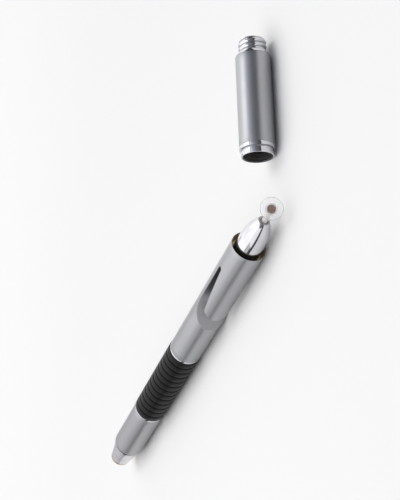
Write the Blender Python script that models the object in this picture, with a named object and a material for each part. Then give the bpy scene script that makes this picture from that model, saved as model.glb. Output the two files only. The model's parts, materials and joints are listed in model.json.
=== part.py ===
"""Stylus ballpoint pen lying on a table, with its cap taken off beside it.

Metres, +Z up. The pen's axis runs along X: the tilting stylus disc is at the +X end
and the writing nose at the -X end. Along the pen, x = 0 is the mouth of the upper
barrel. The cap is turned about its own axis, with x = 0 at its mouth and +x towards
its threaded stub. The origin is the middle of the whole object's footprint.
"""

import math

import bmesh
import bpy
from mathutils import Matrix, Vector

MM = 0.001

# Barrel, clip and grip
BARREL_RADIUS = 4.75 * MM
UPPER_BARREL_LENGTH = 49.1 * MM
LOWER_BARREL_LENGTH = 21.5 * MM
MOUTH_WALL = 0.38 * MM
MOUTH_DEPTH = 2.5 * MM
MOUTH_CHAMFER = 0.2 * MM
EDGE_CHAMFER = 0.12 * MM
RING_WIDTH = 0.7 * MM
GRIP_LENGTH = 33.2 * MM
GRIP_PROUD = 0.15 * MM
GRIP_THICKNESS = 0.95 * MM
GRIP_RIBS = 13
GROOVE_WIDTH = 0.55 * MM
GROOVE_DEPTH = 0.4 * MM
CLIP_SLOT_START = 8.8 * MM
CLIP_ROOT_GAP = 1.25 * MM
CLIP_TIP_GAP = 3.0 * MM
CLIP_REACH = 25.5 * MM
CLIP_TIP_ANGLE = math.radians(40)
SLOT_FLOOR_END = 27.0 * MM
SLOT_RAMP_ANGLE = math.radians(41)

# Stylus nose, stem and disc
COLLAR_PROTRUSION = 0.75 * MM
COLLAR_THREAD_COUNT = 4
COLLAR_WALL = 0.6 * MM
NOSE_REACH = 10.7 * MM
NOSE_TIP_RADIUS = 1.55 * MM
NOSE_FULLNESS = 2.9
SHANK_WALL = 0.85 * MM
SHANK_LENGTH = 6.8 * MM
STEM_GUIDE_LENGTH = 4.2 * MM
STEM_RADIUS = 0.95 * MM
STEM_NECK_RADIUS = 0.42 * MM
STEM_NECK_LENGTH = 0.8 * MM
STEM_FLANGE_WIDTH = 1.0 * MM
STEM_TAIL_LENGTH = 3.5 * MM
PLUG_LENGTH = 2.0 * MM
BALL_REACH = 4.2 * MM
BALL_RADIUS = 0.95 * MM
HUB_SIDE_WALL = 0.45 * MM
HUB_LIP = 0.3 * MM
HUB_FACE_WALL = 0.15 * MM
PAD_RADIUS = 1.12 * MM
PAD_THICKNESS = 0.25 * MM
DISC_RADIUS = 3.0 * MM
DISC_THICKNESS = 0.45 * MM
DISC_BOSS_WALL = 0.4 * MM
DISC_TILT = math.radians(32)
DISC_TILT_HEADING = math.radians(145)
STEM_SPRING_WIRE = 0.2 * MM
STEM_SPRING_CURLS = 8

# Twist mechanism and refill
TWIST_ANGLE = math.radians(180)
REFILL_STROKE = 5.5 * MM
CORE_WALL = 0.6 * MM
KEYWAY_DEPTH = 0.5 * MM
SLEEVE_WALL = 0.55 * MM
SLEEVE_SEAT = 12.0 * MM
SLEEVE_END_LENGTH = 3.2 * MM
SLOT_OVERRUN = math.radians(18)
CLIP_RING_WIDTH = 0.8 * MM
CLIP_RING_DEPTH = 0.25 * MM
CLIP_RING_MOUTH = 2.0 * MM
PIN_FROM_SPLIT = 6.0 * MM
PIN_RADIUS = 0.55 * MM
PIN_SEAT = 1.0 * MM
CARRIAGE_HEAD = 2.2 * MM
CARRIAGE_TAIL = 6.3 * MM
REFILL_SOCKET = 4.0 * MM
REFILL_RADIUS = 1.175 * MM
REFILL_WALL = 0.3 * MM
TIP_SETBACK = 1.0 * MM
TIP_LENGTH = 13.2 * MM
TIP_CONE_LENGTH = 3.5 * MM
TIP_END_RADIUS = 0.5 * MM
TIP_PLUG_LENGTH = 2.5 * MM
SHOULDER_WIDTH = 0.8 * MM
WRITING_BALL_RADIUS = 0.36 * MM
REFILL_SPRING_WIRE = 0.17 * MM
REFILL_SPRING_CURLS = 6

# Writing nose
PEN_NOSE_LENGTH = 10.0 * MM
PEN_NOSE_STEP = 0.3 * MM
PEN_NOSE_END_RADIUS = 2.9 * MM
PEN_NOSE_TAPER = math.radians(7.5)
PEN_NOSE_ROUND = 0.5 * MM
PEN_NOSE_SHANK_LENGTH = 5.0 * MM
TAIL_WALL = 1.3 * MM
SPRING_SEAT_DEPTH = 5.3 * MM

# Cap
CAP_TUBE_LENGTH = 25.3 * MM
CAP_WALL = 0.6 * MM
CAP_FLANGE_WIDTH = 1.0 * MM
CAP_GROOVE_WIDTH = 0.35 * MM
CAP_GROOVE_DEPTH = 0.12 * MM
SPIGOT_LENGTH = 1.5 * MM
SPIGOT_WALL = 0.28 * MM
LINER_WALL = 0.18 * MM
LINER_LENGTH = 5.5 * MM
LINER_SETBACK = 0.25 * MM
LINER_THREAD_COUNT = 5
THREAD_DEPTH = 0.08 * MM
CAP_INSERT_LENGTH = 3.0 * MM
SHOULDER_CHAMFER = 0.85 * MM
STUB_RADIUS = 3.78 * MM
STUB_LENGTH = 4.0 * MM
STUB_THREAD_COUNT = 3
STUB_THREAD_DEPTH = 0.3 * MM
CAP_PLACE = (15.2 * MM, 17.6 * MM)
CAP_HEADING = math.radians(68.7)

# Clearances
FIT_GAP = 0.05 * MM
RUN_GAP = 0.1 * MM
SPRING_GAP = 0.25 * MM
SPRING_PLAY = 0.15 * MM
PIN_PLAY = 0.2 * MM
CUT_MARGIN = 1.0 * MM

# Fineness of the round pieces
BARREL_SIDES = 32
SMALL_SIDES = 24
PIN_SIDES = 16
BALL_RINGS = 8
ARC_STEPS = 8
ROUND_STEPS = 3
HELIX_STEPS = 28
CURL_POINTS = 8
SHARP_ANGLE = math.radians(30)
WELD = 1e-7


def clear_scene():
    for old in list(bpy.data.objects):
        bpy.data.objects.remove(old, do_unlink=True)


def finish(name, colour, roughness, metallic, alpha=1.0):
    """A plain material in the piece's own colour."""
    material = bpy.data.materials.new(name)
    material.use_nodes = True
    shader = material.node_tree.nodes["Principled BSDF"]
    shader.inputs["Base Color"].default_value = (*colour, 1.0)
    shader.inputs["Roughness"].default_value = roughness
    shader.inputs["Metallic"].default_value = metallic
    shader.inputs["Alpha"].default_value = alpha
    return material


def empty(name, parent=None, location=(0, 0, 0), rotation=None):
    marker = bpy.data.objects.new(name, None)
    marker.empty_display_size = BARREL_RADIUS
    marker.parent = parent
    marker.location = location
    if rotation is not None:
        marker.rotation_mode = "QUATERNION"
        marker.rotation_quaternion = rotation
    bpy.context.collection.objects.link(marker)
    return marker


def mesh_object(name, bm, material, parent):
    """Turns a bmesh into a smooth-shaded object whose origin is its parent's."""
    bmesh.ops.recalc_face_normals(bm, faces=bm.faces)
    mesh = bpy.data.meshes.new(name)
    bm.to_mesh(mesh)
    bm.free()
    mesh.shade_smooth()
    mesh.set_sharp_from_angle(angle=SHARP_ANGLE)
    if material is not None:
        mesh.materials.append(material)
    piece = bpy.data.objects.new(name, mesh)
    piece.parent = parent
    bpy.context.collection.objects.link(piece)
    return piece


def turned(name, outline, material, parent, sides=BARREL_SIDES):
    """A solid turned about X from a closed outline of (x, radius) points, flat side down."""
    bm = bmesh.new()
    half_side = math.pi / sides
    across = math.cos(half_side)
    up = math.sin(half_side)
    points = [bm.verts.new((x, radius * across, radius * up)) for x, radius in outline]
    edges = []
    for start, end in zip(points, points[1:] + points[:1]):
        if start.co.y > 0 or end.co.y > 0:
            edges.append(bm.edges.new((start, end)))
    bmesh.ops.spin(
        bm,
        geom=points + edges,
        cent=(0, 0, 0),
        axis=(1, 0, 0),
        angle=math.tau,
        steps=sides,
        use_merge=True,
    )
    bmesh.ops.remove_doubles(bm, verts=bm.verts, dist=WELD)
    return mesh_object(name, bm, material, parent)


def tube(name, start, end, outer, inner, material, parent, sides=BARREL_SIDES):
    outline = [(start, inner), (start, outer), (end, outer), (end, inner)]
    return turned(name, outline, material, parent, sides)


def ball(name, centre, radius, material, parent, sides=SMALL_SIDES):
    turns = [math.pi * step / BALL_RINGS for step in range(BALL_RINGS + 1)]
    outline = [(centre + radius * math.cos(a), radius * math.sin(a)) for a in turns]
    outline[0] = (centre + radius, 0.0)
    outline[-1] = (centre - radius, 0.0)
    return turned(name, outline, material, parent, sides)


def prism(name, outline, height, parent):
    """A cutter: an outline in the XY plane, drawn out along Z to both sides."""
    bm = bmesh.new()
    face = bm.faces.new([bm.verts.new((x, y, -height)) for x, y in outline])
    grown = bmesh.ops.extrude_face_region(bm, geom=[face])
    raised = [item for item in grown["geom"] if isinstance(item, bmesh.types.BMVert)]
    bmesh.ops.translate(bm, verts=raised, vec=(0, 0, 2 * height))
    return as_cutter(mesh_object(name, bm, None, parent))


def box(name, low, high, parent):
    bm = bmesh.new()
    bmesh.ops.create_cube(bm, size=1.0)
    size = Vector(high) - Vector(low)
    bmesh.ops.scale(bm, verts=bm.verts, vec=size)
    bmesh.ops.translate(bm, verts=bm.verts, vec=Vector(low) + size / 2)
    return as_cutter(mesh_object(name, bm, None, parent))


def upright_rod(bm, x, radius, low, high):
    """Adds a rod along Z to a bmesh."""
    bmesh.ops.create_cone(
        bm,
        cap_ends=True,
        segments=PIN_SIDES,
        radius1=radius,
        radius2=radius,
        depth=high - low,
        matrix=Matrix.Translation((x, 0, (low + high) / 2)),
    )


def as_cutter(piece):
    piece.hide_render = True
    piece.display_type = "WIRE"
    return piece


def cut(piece, cutter):
    modifier = piece.modifiers.new(cutter.name, "BOOLEAN")
    modifier.operation = "DIFFERENCE"
    modifier.solver = "EXACT"
    modifier.object = cutter


def coil(name, start, end, radius, wire, curls, material, parent):
    """An open coil spring about X, as one unbroken round wire."""
    steps = curls * CURL_POINTS
    points = []
    for step in range(steps + 1):
        turn = math.tau * step / CURL_POINTS
        x = start + (end - start) * step / steps
        points.append(Vector((x, radius * math.cos(turn), radius * math.sin(turn))))
    curve = bpy.data.curves.new(name, "CURVE")
    curve.dimensions = "3D"
    curve.bevel_depth = wire
    curve.bevel_resolution = 1
    curve.use_fill_caps = True
    spline = curve.splines.new("POLY")
    spline.points.add(len(points) - 1)
    for target, point in zip(spline.points, points):
        target.co = (*point, 1.0)
    curve.materials.append(material)
    piece = bpy.data.objects.new(name, curve)
    piece.parent = parent
    bpy.context.collection.objects.link(piece)
    print(f"{name}: least gap between curls {self_gap(points, wire) / MM:.2f} mm")
    return piece


def self_gap(points, wire):
    """Least clear distance between points of a coil at least half a curl apart."""
    apart = CURL_POINTS // 2
    pairs = ((a, b) for i, a in enumerate(points) for b in points[i + apart :])
    return min((a - b).length for a, b in pairs) - 2 * wire


def threads(start, end, crest, root, count):
    """Outline points of a row of sharp ridges from start to end."""
    pitch = (end - start) / count
    points = [(start, root)]
    for index in range(count):
        points.append((start + (index + 0.5) * pitch, crest))
        points.append((start + (index + 1) * pitch, root))
    return points


def arc(centre, radius, first, last):
    """Points of an arc, as (x, y) pairs."""
    turns = [first + (last - first) * step / ARC_STEPS for step in range(ARC_STEPS + 1)]
    return [(centre[0] + radius * math.cos(a), centre[1] + radius * math.sin(a)) for a in turns]


def make_finishes():
    return {
        "satin": finish("satin_aluminium", (0.36, 0.36, 0.38), 0.38, 1.0),
        "chrome": finish("polished_chrome", (0.78, 0.78, 0.80), 0.08, 1.0),
        "rubber": finish("black_rubber", (0.025, 0.025, 0.027), 0.6, 0.0),
        "black": finish("gloss_black", (0.012, 0.012, 0.013), 0.2, 0.0),
        "clear": finish("clear_plastic", (0.92, 0.93, 0.94), 0.08, 0.0, 0.35),
        "brown": finish("brown_contact", (0.22, 0.12, 0.09), 0.45, 0.0),
        "brass": finish("turned_brass", (0.72, 0.53, 0.25), 0.3, 1.0),
        "steel": finish("spring_steel", (0.55, 0.55, 0.56), 0.3, 1.0),
        "moulded": finish("moulded_plastic", (0.75, 0.75, 0.72), 0.5, 0.0),
        "ink_tube": finish("ink_tube", (0.10, 0.12, 0.30), 0.35, 0.0),
    }


def split_places():
    """Places along the pen from the upper barrel's back face to the writing end."""
    ring_front = -UPPER_BARREL_LENGTH - RUN_GAP
    grip_front = ring_front - RING_WIDTH - FIT_GAP
    grip_back = grip_front - GRIP_LENGTH
    low_ring_front = grip_back - FIT_GAP
    lower_front = low_ring_front - RING_WIDTH - FIT_GAP
    tail = lower_front - LOWER_BARREL_LENGTH
    nose_front = tail - FIT_GAP
    return {
        "ring_front": ring_front,
        "grip_front": grip_front,
        "grip_back": grip_back,
        "low_ring_front": low_ring_front,
        "lower_front": lower_front,
        "tail": tail,
        "nose_front": nose_front,
        "nose_end": nose_front - PEN_NOSE_LENGTH,
        "pin": ring_front - PIN_FROM_SPLIT,
    }


def radii():
    """Radii of the pieces that run inside each other, from the outside in."""
    grip = BARREL_RADIUS + GRIP_PROUD
    core = grip - GRIP_THICKNESS - FIT_GAP
    keyway = core - CORE_WALL
    core_bore = keyway - KEYWAY_DEPTH
    sleeve = core_bore - RUN_GAP
    sleeve_bore = sleeve - SLEEVE_WALL
    mouth = BARREL_RADIUS - MOUTH_WALL
    spigot = mouth - FIT_GAP
    liner = spigot - SPIGOT_WALL - FIT_GAP
    collar = liner - LINER_WALL - RUN_GAP
    shank = collar - THREAD_DEPTH - COLLAR_WALL - FIT_GAP
    refill_spring = REFILL_RADIUS + SPRING_PLAY + REFILL_SPRING_WIRE
    return {
        "grip": grip,
        "core": core,
        "keyway": keyway,
        "core_bore": core_bore,
        "sleeve": sleeve,
        "sleeve_bore": sleeve_bore,
        "carriage": sleeve_bore - RUN_GAP,
        "mouth": mouth,
        "spigot": spigot,
        "liner": liner,
        "collar": collar,
        "shank": shank,
        "chamber": shank - SHANK_WALL,
        "tail_bore": BARREL_RADIUS - TAIL_WALL,
        "refill_spring": refill_spring,
        "shoulder": refill_spring + REFILL_SPRING_WIRE,
    }


def build_upper_barrel(finishes, pen, size):
    """Solid aluminium barrel, bored at both ends, with the clip left by a through cut."""
    back = -UPPER_BARREL_LENGTH
    seat = size["shank"] + FIT_GAP
    bore = size["sleeve"] + FIT_GAP
    outline = [
        (-SHANK_LENGTH - FIT_GAP, 0.0),
        (-SHANK_LENGTH - FIT_GAP, seat),
        (-MOUTH_DEPTH, seat),
        (-MOUTH_DEPTH, size["mouth"]),
        (-MOUTH_CHAMFER, size["mouth"]),
        (0.0, size["mouth"] + MOUTH_CHAMFER),
        (0.0, BARREL_RADIUS - EDGE_CHAMFER),
        (-EDGE_CHAMFER, BARREL_RADIUS),
        (back + EDGE_CHAMFER, BARREL_RADIUS),
        (back, BARREL_RADIUS - EDGE_CHAMFER),
        (back, bore),
        (back + SLEEVE_SEAT, bore),
        (back + SLEEVE_SEAT, 0.0),
    ]
    barrel = turned("upper_barrel", outline, finishes["satin"], pen)
    outside = BARREL_RADIUS + CUT_MARGIN
    root_radius = CLIP_ROOT_GAP / 2
    root_x = -CLIP_SLOT_START - root_radius
    ramp_out = -SLOT_FLOOR_END - outside / math.tan(SLOT_RAMP_ANGLE)
    tip_out = -CLIP_REACH - (outside - CLIP_TIP_GAP) / math.tan(CLIP_TIP_ANGLE)
    slot = arc((root_x, -root_radius), root_radius, -math.pi / 2, math.pi / 2)
    slot += [
        (-SLOT_FLOOR_END, 0.0),
        (ramp_out, -outside),
        (tip_out, -outside),
        (-CLIP_REACH, -CLIP_TIP_GAP),
    ]
    cut(barrel, prism("clip_slot_cutter", slot, outside, pen))


def build_thread_collar(finishes, pen, size):
    inner = size["shank"] + FIT_GAP
    start = -MOUTH_DEPTH + FIT_GAP
    root = size["collar"] - THREAD_DEPTH
    outline = threads(start, COLLAR_PROTRUSION, size["collar"], root, COLLAR_THREAD_COUNT)
    outline = [(start, inner)] + outline + [(COLLAR_PROTRUSION, inner)]
    turned("thread_collar", outline, finishes["black"], pen)


def build_stylus_nose(finishes, pen, size):
    """Bullet-shaped nose with a shank in the barrel and a chamber for the cushion spring."""
    foot = COLLAR_PROTRUSION + FIT_GAP
    chamber = size["chamber"]
    outline = [(-SHANK_LENGTH, chamber), (-SHANK_LENGTH, size["shank"]), (foot, size["shank"])]
    for step in range(ARC_STEPS + 1):
        share = step / ARC_STEPS
        fall = (size["collar"] - NOSE_TIP_RADIUS) * share**NOSE_FULLNESS
        outline.append((foot + (NOSE_REACH - foot) * share, size["collar"] - fall))
    guide = STEM_RADIUS + RUN_GAP
    chamber_end = NOSE_REACH - STEM_GUIDE_LENGTH
    outline += [(NOSE_REACH, guide), (chamber_end, guide), (chamber_end, chamber)]
    turned("stylus_nose", outline, finishes["chrome"], pen)
    plug_radius = chamber - FIT_GAP
    plug_start = -SHANK_LENGTH
    outline = [(plug_start, 0.0), (plug_start, plug_radius)]
    outline += [(plug_start + PLUG_LENGTH, plug_radius), (plug_start + PLUG_LENGTH, 0.0)]
    turned("spring_plug", outline, finishes["brass"], pen, SMALL_SIDES)


def build_stem(finishes, pen, size):
    """Sliding stem and the cushion spring behind it."""
    flange_front = NOSE_REACH - STEM_GUIDE_LENGTH - FIT_GAP
    flange_back = flange_front - STEM_FLANGE_WIDTH
    ball_centre = NOSE_REACH + BALL_REACH
    stem_end = ball_centre - BALL_RADIUS - FIT_GAP
    tail = flange_back - STEM_TAIL_LENGTH
    flange = size["chamber"] - RUN_GAP
    outline = [
        (tail, 0.0),
        (tail, STEM_RADIUS),
        (flange_back, STEM_RADIUS),
        (flange_back, flange),
        (flange_front, flange),
        (flange_front, STEM_RADIUS),
        (stem_end - STEM_NECK_LENGTH, STEM_RADIUS),
        (stem_end, STEM_NECK_RADIUS),
        (stem_end, 0.0),
    ]
    turned("stylus_stem", outline, finishes["moulded"], pen, SMALL_SIDES)
    start = -SHANK_LENGTH + PLUG_LENGTH + SPRING_GAP
    coil(
        "stem_spring",
        start,
        flange_back - SPRING_GAP,
        STEM_RADIUS + SPRING_PLAY + STEM_SPRING_WIRE,
        STEM_SPRING_WIRE,
        STEM_SPRING_CURLS,
        finishes["steel"],
        pen,
    )


def build_disc(finishes, joint):
    """Ball, socket hub, contact pad and clear disc, turned about the disc's own axis."""
    ball("tip_ball", 0.0, BALL_RADIUS, finishes["steel"], joint)
    socket = BALL_RADIUS + RUN_GAP
    lip_turn = math.acos(-HUB_LIP / socket)
    front = socket + HUB_FACE_WALL
    side = socket + HUB_SIDE_WALL
    outline = [(front, 0.0), (front, side), (-HUB_LIP, side)]
    hollow = arc((0.0, 0.0), socket, lip_turn, 0.0)
    outline += hollow[:-1] + [(socket, 0.0)]
    turned("disc_hub", outline, finishes["clear"], joint, SMALL_SIDES)
    pad_back = front + FIT_GAP
    pad_front = pad_back + PAD_THICKNESS
    outline = [(pad_back, 0.0), (pad_back, PAD_RADIUS), (pad_front, PAD_RADIUS), (pad_front, 0.0)]
    turned("contact_pad", outline, finishes["brown"], joint, SMALL_SIDES)
    pocket = PAD_RADIUS + FIT_GAP
    back = pad_front + FIT_GAP
    outline = [
        (back, 0.0),
        (back, pocket),
        (pad_back, pocket),
        (pad_back, pocket + DISC_BOSS_WALL),
        (back, pocket + DISC_BOSS_WALL),
        (back, DISC_RADIUS),
        (back + DISC_THICKNESS, DISC_RADIUS),
        (back + DISC_THICKNESS, 0.0),
    ]
    turned("tip_disc", outline, finishes["clear"], joint)


def build_grip(finishes, pen, at, size):
    """Two thin rings and the ribbed rubber sleeve between them, on the lower barrel's core."""
    inner = size["core"] + FIT_GAP
    for name, front in (("centre_ring", at["ring_front"]), ("lower_ring", at["low_ring_front"])):
        tube(name, front - RING_WIDTH, front, BARREL_RADIUS, inner, finishes["chrome"], pen)
    pitch = GRIP_LENGTH / GRIP_RIBS
    root = size["grip"] - GROOVE_DEPTH
    outline = [(at["grip_back"], inner), (at["grip_back"], BARREL_RADIUS)]
    for rib in range(GRIP_RIBS):
        start = at["grip_back"] + rib * pitch
        if rib:
            outline.append((start, root))
        outline.append((start + GROOVE_WIDTH / 2, size["grip"]))
        outline.append((start + pitch - GROOVE_WIDTH / 2, size["grip"]))
    outline += [(at["grip_front"], BARREL_RADIUS), (at["grip_front"], inner)]
    turned("grip_sleeve", outline, finishes["rubber"], pen)


def build_lower_barrel(finishes, pen, at, size):
    """Visible tail section with the core that carries grip and rings, bored right through."""
    step = at["pin"] - REFILL_STROKE - SLEEVE_END_LENGTH
    thread_start = at["tail"] + PEN_NOSE_SHANK_LENGTH + FIT_GAP
    wide = size["sleeve"] + CLIP_RING_DEPTH + 2 * RUN_GAP
    outline = [
        (at["ring_front"], size["core_bore"]),
        (at["ring_front"], size["core"]),
        (at["lower_front"], size["core"]),
        (at["lower_front"], BARREL_RADIUS),
        (at["tail"] + EDGE_CHAMFER, BARREL_RADIUS),
        (at["tail"], BARREL_RADIUS - EDGE_CHAMFER),
        (at["tail"], size["tail_bore"]),
        (thread_start, size["tail_bore"]),
        (thread_start, wide),
        (step, wide),
        (step, size["core_bore"]),
    ]
    barrel = turned("lower_barrel", outline, finishes["satin"], pen)
    half_width = PIN_RADIUS + PIN_PLAY
    keyway_end = at["pin"] - REFILL_STROKE - half_width
    low = (keyway_end, -half_width, size["core_bore"] - CUT_MARGIN)
    high = (at["ring_front"] + CUT_MARGIN, half_width, size["keyway"])
    cut(barrel, box("keyway_cutter", low, high, pen))


def build_pen_nose(finishes, pen, at, size):
    front = at["nose_front"]
    end = at["nose_end"]
    bore = size["shoulder"] + SPRING_PLAY
    seat = end + SPRING_SEAT_DEPTH
    hole = REFILL_RADIUS + RUN_GAP
    shoulder = BARREL_RADIUS - PEN_NOSE_STEP
    rounded_x = end + PEN_NOSE_ROUND
    rounded = shoulder - (front - rounded_x) * math.tan(PEN_NOSE_TAPER)
    shank = size["tail_bore"] - FIT_GAP
    outline = [
        (front + PEN_NOSE_SHANK_LENGTH, bore),
        (front + PEN_NOSE_SHANK_LENGTH, shank),
        (front, shank),
        (front, shoulder),
    ]
    for step in range(ROUND_STEPS + 1):
        turn = math.pi / 2 * step / ROUND_STEPS
        radius = PEN_NOSE_END_RADIUS + (rounded - PEN_NOSE_END_RADIUS) * math.cos(turn)
        outline.append((rounded_x - PEN_NOSE_ROUND * math.sin(turn), radius))
    outline += [(end, hole), (seat, hole), (seat, bore)]
    turned("pen_nose", outline, finishes["chrome"], pen)


def build_cam_sleeve(finishes, pen, at, size):
    """Sleeve fixed in the upper barrel, whose spiral slot drives the refill's carriage."""
    front = -UPPER_BARREL_LENGTH + SLEEVE_SEAT - FIT_GAP
    step = at["pin"] - REFILL_STROKE - SLEEVE_END_LENGTH
    groove_front = step - FIT_GAP
    groove_back = groove_front - CLIP_RING_WIDTH - 2 * FIT_GAP
    back = groove_back - CLIP_RING_WIDTH
    groove = size["sleeve"] - CLIP_RING_DEPTH
    outline = [
        (front, size["sleeve_bore"]),
        (front, size["sleeve"]),
        (groove_front, size["sleeve"]),
        (groove_front, groove),
        (groove_back, groove),
        (groove_back, size["sleeve"]),
        (back, size["sleeve"]),
        (back, size["sleeve_bore"]),
    ]
    sleeve = turned("cam_sleeve", outline, finishes["brass"], pen, SMALL_SIDES)
    cut(sleeve, spiral_cutter(pen, at, size))
    ring_front = groove_front - FIT_GAP
    ring = tube(
        "retaining_clip",
        ring_front - CLIP_RING_WIDTH,
        ring_front,
        size["sleeve"] + CLIP_RING_DEPTH,
        groove + FIT_GAP,
        finishes["steel"],
        pen,
        SMALL_SIDES,
    )
    reach = BARREL_RADIUS
    low = (groove_back - CUT_MARGIN, -CLIP_RING_MOUTH / 2, -reach)
    high = (groove_front + CUT_MARGIN, CLIP_RING_MOUTH / 2, 0.0)
    cut(ring, box("clip_mouth_cutter", low, high, pen))


def spiral_cutter(pen, at, size):
    """Band that winds round the sleeve: half a turn as the pin makes its stroke."""
    inside = size["sleeve_bore"] - CUT_MARGIN
    outside = size["sleeve"] + CUT_MARGIN
    slope = math.atan2(REFILL_STROKE, TWIST_ANGLE * size["sleeve"])
    half_width = (PIN_RADIUS + PIN_PLAY) / math.cos(slope)
    bm = bmesh.new()
    rows = []
    for step in range(HELIX_STEPS + 1):
        turn = -SLOT_OVERRUN + (TWIST_ANGLE + 2 * SLOT_OVERRUN) * step / HELIX_STEPS
        x = at["pin"] - REFILL_STROKE * turn / TWIST_ANGLE
        angle = math.pi / 2 + turn
        row = []
        for offset, radius in ((1, inside), (1, outside), (-1, outside), (-1, inside)):
            place = x + offset * half_width
            row.append(bm.verts.new((place, radius * math.cos(angle), radius * math.sin(angle))))
        rows.append(row)
    for before, after in zip(rows, rows[1:]):
        for corner in range(4):
            following = (corner + 1) % 4
            bm.faces.new((before[corner], before[following], after[following], after[corner]))
    bm.faces.new(rows[0])
    bm.faces.new(rows[-1])
    return as_cutter(mesh_object("spiral_slot_cutter", bm, None, pen))


def build_refill(finishes, pen, at, size):
    """Carriage, cross pin, ink tube, writing tip, ball and spring."""
    head = at["pin"] + CARRIAGE_HEAD
    tail = at["pin"] - CARRIAGE_TAIL
    socket = REFILL_RADIUS + FIT_GAP
    outline = [
        (tail, socket),
        (tail, size["carriage"]),
        (head, size["carriage"]),
        (head, 0.0),
        (tail + REFILL_SOCKET, 0.0),
        (tail + REFILL_SOCKET, socket),
    ]
    carriage = turned("cam_follower", outline, finishes["moulded"], pen, SMALL_SIDES)
    bm = bmesh.new()
    upright_rod(bm, at["pin"], PIN_RADIUS + FIT_GAP, PIN_SEAT, size["keyway"] + CUT_MARGIN)
    cut(carriage, as_cutter(mesh_object("pin_hole_cutter", bm, None, pen)))
    bm = bmesh.new()
    upright_rod(bm, at["pin"], PIN_RADIUS, PIN_SEAT + FIT_GAP, size["keyway"] - RUN_GAP)
    mesh_object("drive_pin", bm, finishes["steel"], pen)

    ball_centre = at["nose_end"] + TIP_SETBACK + WRITING_BALL_RADIUS
    tip_front = ball_centre + WRITING_BALL_RADIUS / 2
    tip_back = tip_front + TIP_LENGTH
    cone = tip_front + TIP_CONE_LENGTH
    shoulder = tip_back - SHOULDER_WIDTH
    plug = REFILL_RADIUS - REFILL_WALL - FIT_GAP
    cup = WRITING_BALL_RADIUS + FIT_GAP
    cup_bottom = ball_centre + WRITING_BALL_RADIUS + FIT_GAP
    outline = [
        (cup_bottom, 0.0),
        (cup_bottom, cup),
        (tip_front, cup),
        (tip_front, TIP_END_RADIUS),
        (cone, REFILL_RADIUS),
        (shoulder, REFILL_RADIUS),
        (shoulder, size["shoulder"]),
        (tip_back, size["shoulder"]),
        (tip_back, plug),
        (tip_back + TIP_PLUG_LENGTH, plug),
        (tip_back + TIP_PLUG_LENGTH, 0.0),
    ]
    turned("refill_tip", outline, finishes["brass"], pen, SMALL_SIDES)
    ball("writing_ball", ball_centre, WRITING_BALL_RADIUS, finishes["steel"], pen, PIN_SIDES)
    tube(
        "refill_tube",
        tip_back + FIT_GAP,
        tail + REFILL_SOCKET - FIT_GAP,
        REFILL_RADIUS,
        REFILL_RADIUS - REFILL_WALL,
        finishes["ink_tube"],
        pen,
        SMALL_SIDES,
    )
    coil(
        "refill_spring",
        at["nose_end"] + SPRING_SEAT_DEPTH + SPRING_GAP,
        shoulder - SPRING_GAP,
        size["refill_spring"],
        REFILL_SPRING_WIRE,
        REFILL_SPRING_CURLS,
        finishes["steel"],
        pen,
    )


def build_cap(finishes, cap, size):
    """Cap tube, mouth collar with its spigot, threaded lining and end plug with its stub."""
    flange_start = SPIGOT_LENGTH + CAP_GROOVE_WIDTH
    tube_start = flange_start + CAP_FLANGE_WIDTH + FIT_GAP
    tube_end = tube_start + CAP_TUBE_LENGTH
    bore = BARREL_RADIUS - CAP_WALL
    insert = bore - FIT_GAP
    tube("cap_tube", tube_start, tube_end, BARREL_RADIUS, bore, finishes["satin"], cap)
    lining = size["liner"] + FIT_GAP
    insert_end = tube_start + CAP_INSERT_LENGTH
    outline = [
        (0.0, lining),
        (0.0, size["spigot"] - EDGE_CHAMFER),
        (EDGE_CHAMFER, size["spigot"]),
        (SPIGOT_LENGTH, size["spigot"]),
        (SPIGOT_LENGTH, size["spigot"] - CAP_GROOVE_DEPTH),
        (flange_start, size["spigot"] - CAP_GROOVE_DEPTH),
        (flange_start, BARREL_RADIUS),
        (tube_start - FIT_GAP, BARREL_RADIUS),
        (tube_start - FIT_GAP, insert),
        (insert_end, insert),
        (insert_end, lining),
    ]
    turned("cap_collar", outline, finishes["chrome"], cap)
    crest = size["liner"] - LINER_WALL
    end = LINER_SETBACK + LINER_LENGTH
    outline = threads(LINER_SETBACK, end, crest, crest + THREAD_DEPTH, LINER_THREAD_COUNT)
    outline += [(end, size["liner"]), (LINER_SETBACK, size["liner"])]
    turned("cap_thread_liner", outline, finishes["black"], cap)
    shoulder = tube_end + FIT_GAP
    stub_start = shoulder + SHOULDER_CHAMFER
    stub_end = stub_start + STUB_LENGTH
    root = STUB_RADIUS - STUB_THREAD_DEPTH
    outline = [
        (tube_end - CAP_INSERT_LENGTH, 0.0),
        (tube_end - CAP_INSERT_LENGTH, insert),
        (shoulder, insert),
        (shoulder, BARREL_RADIUS),
        (stub_start, BARREL_RADIUS - SHOULDER_CHAMFER),
    ]
    outline += threads(stub_start, stub_end, STUB_RADIUS, root, STUB_THREAD_COUNT)
    outline.append((stub_end, 0.0))
    turned("cap_end_plug", outline, finishes["chrome"], cap)


def stand_on_floor(assembly):
    """Moves the assembly so that the middle of its footprint is the origin."""
    bpy.context.view_layer.update()
    graph = bpy.context.evaluated_depsgraph_get()
    low = Vector((math.inf, math.inf, math.inf))
    high = -low
    for piece in bpy.data.objects:
        if piece.type == "EMPTY" or piece.hide_render:
            continue
        shape = piece.evaluated_get(graph)
        mesh = shape.to_mesh()
        for vertex in mesh.vertices:
            point = shape.matrix_world @ vertex.co
            low = Vector(map(min, low, point))
            high = Vector(map(max, high, point))
        shape.to_mesh_clear()
    middle = (low + high) / 2
    assembly.location = (-middle.x, -middle.y, -low.z)


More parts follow.
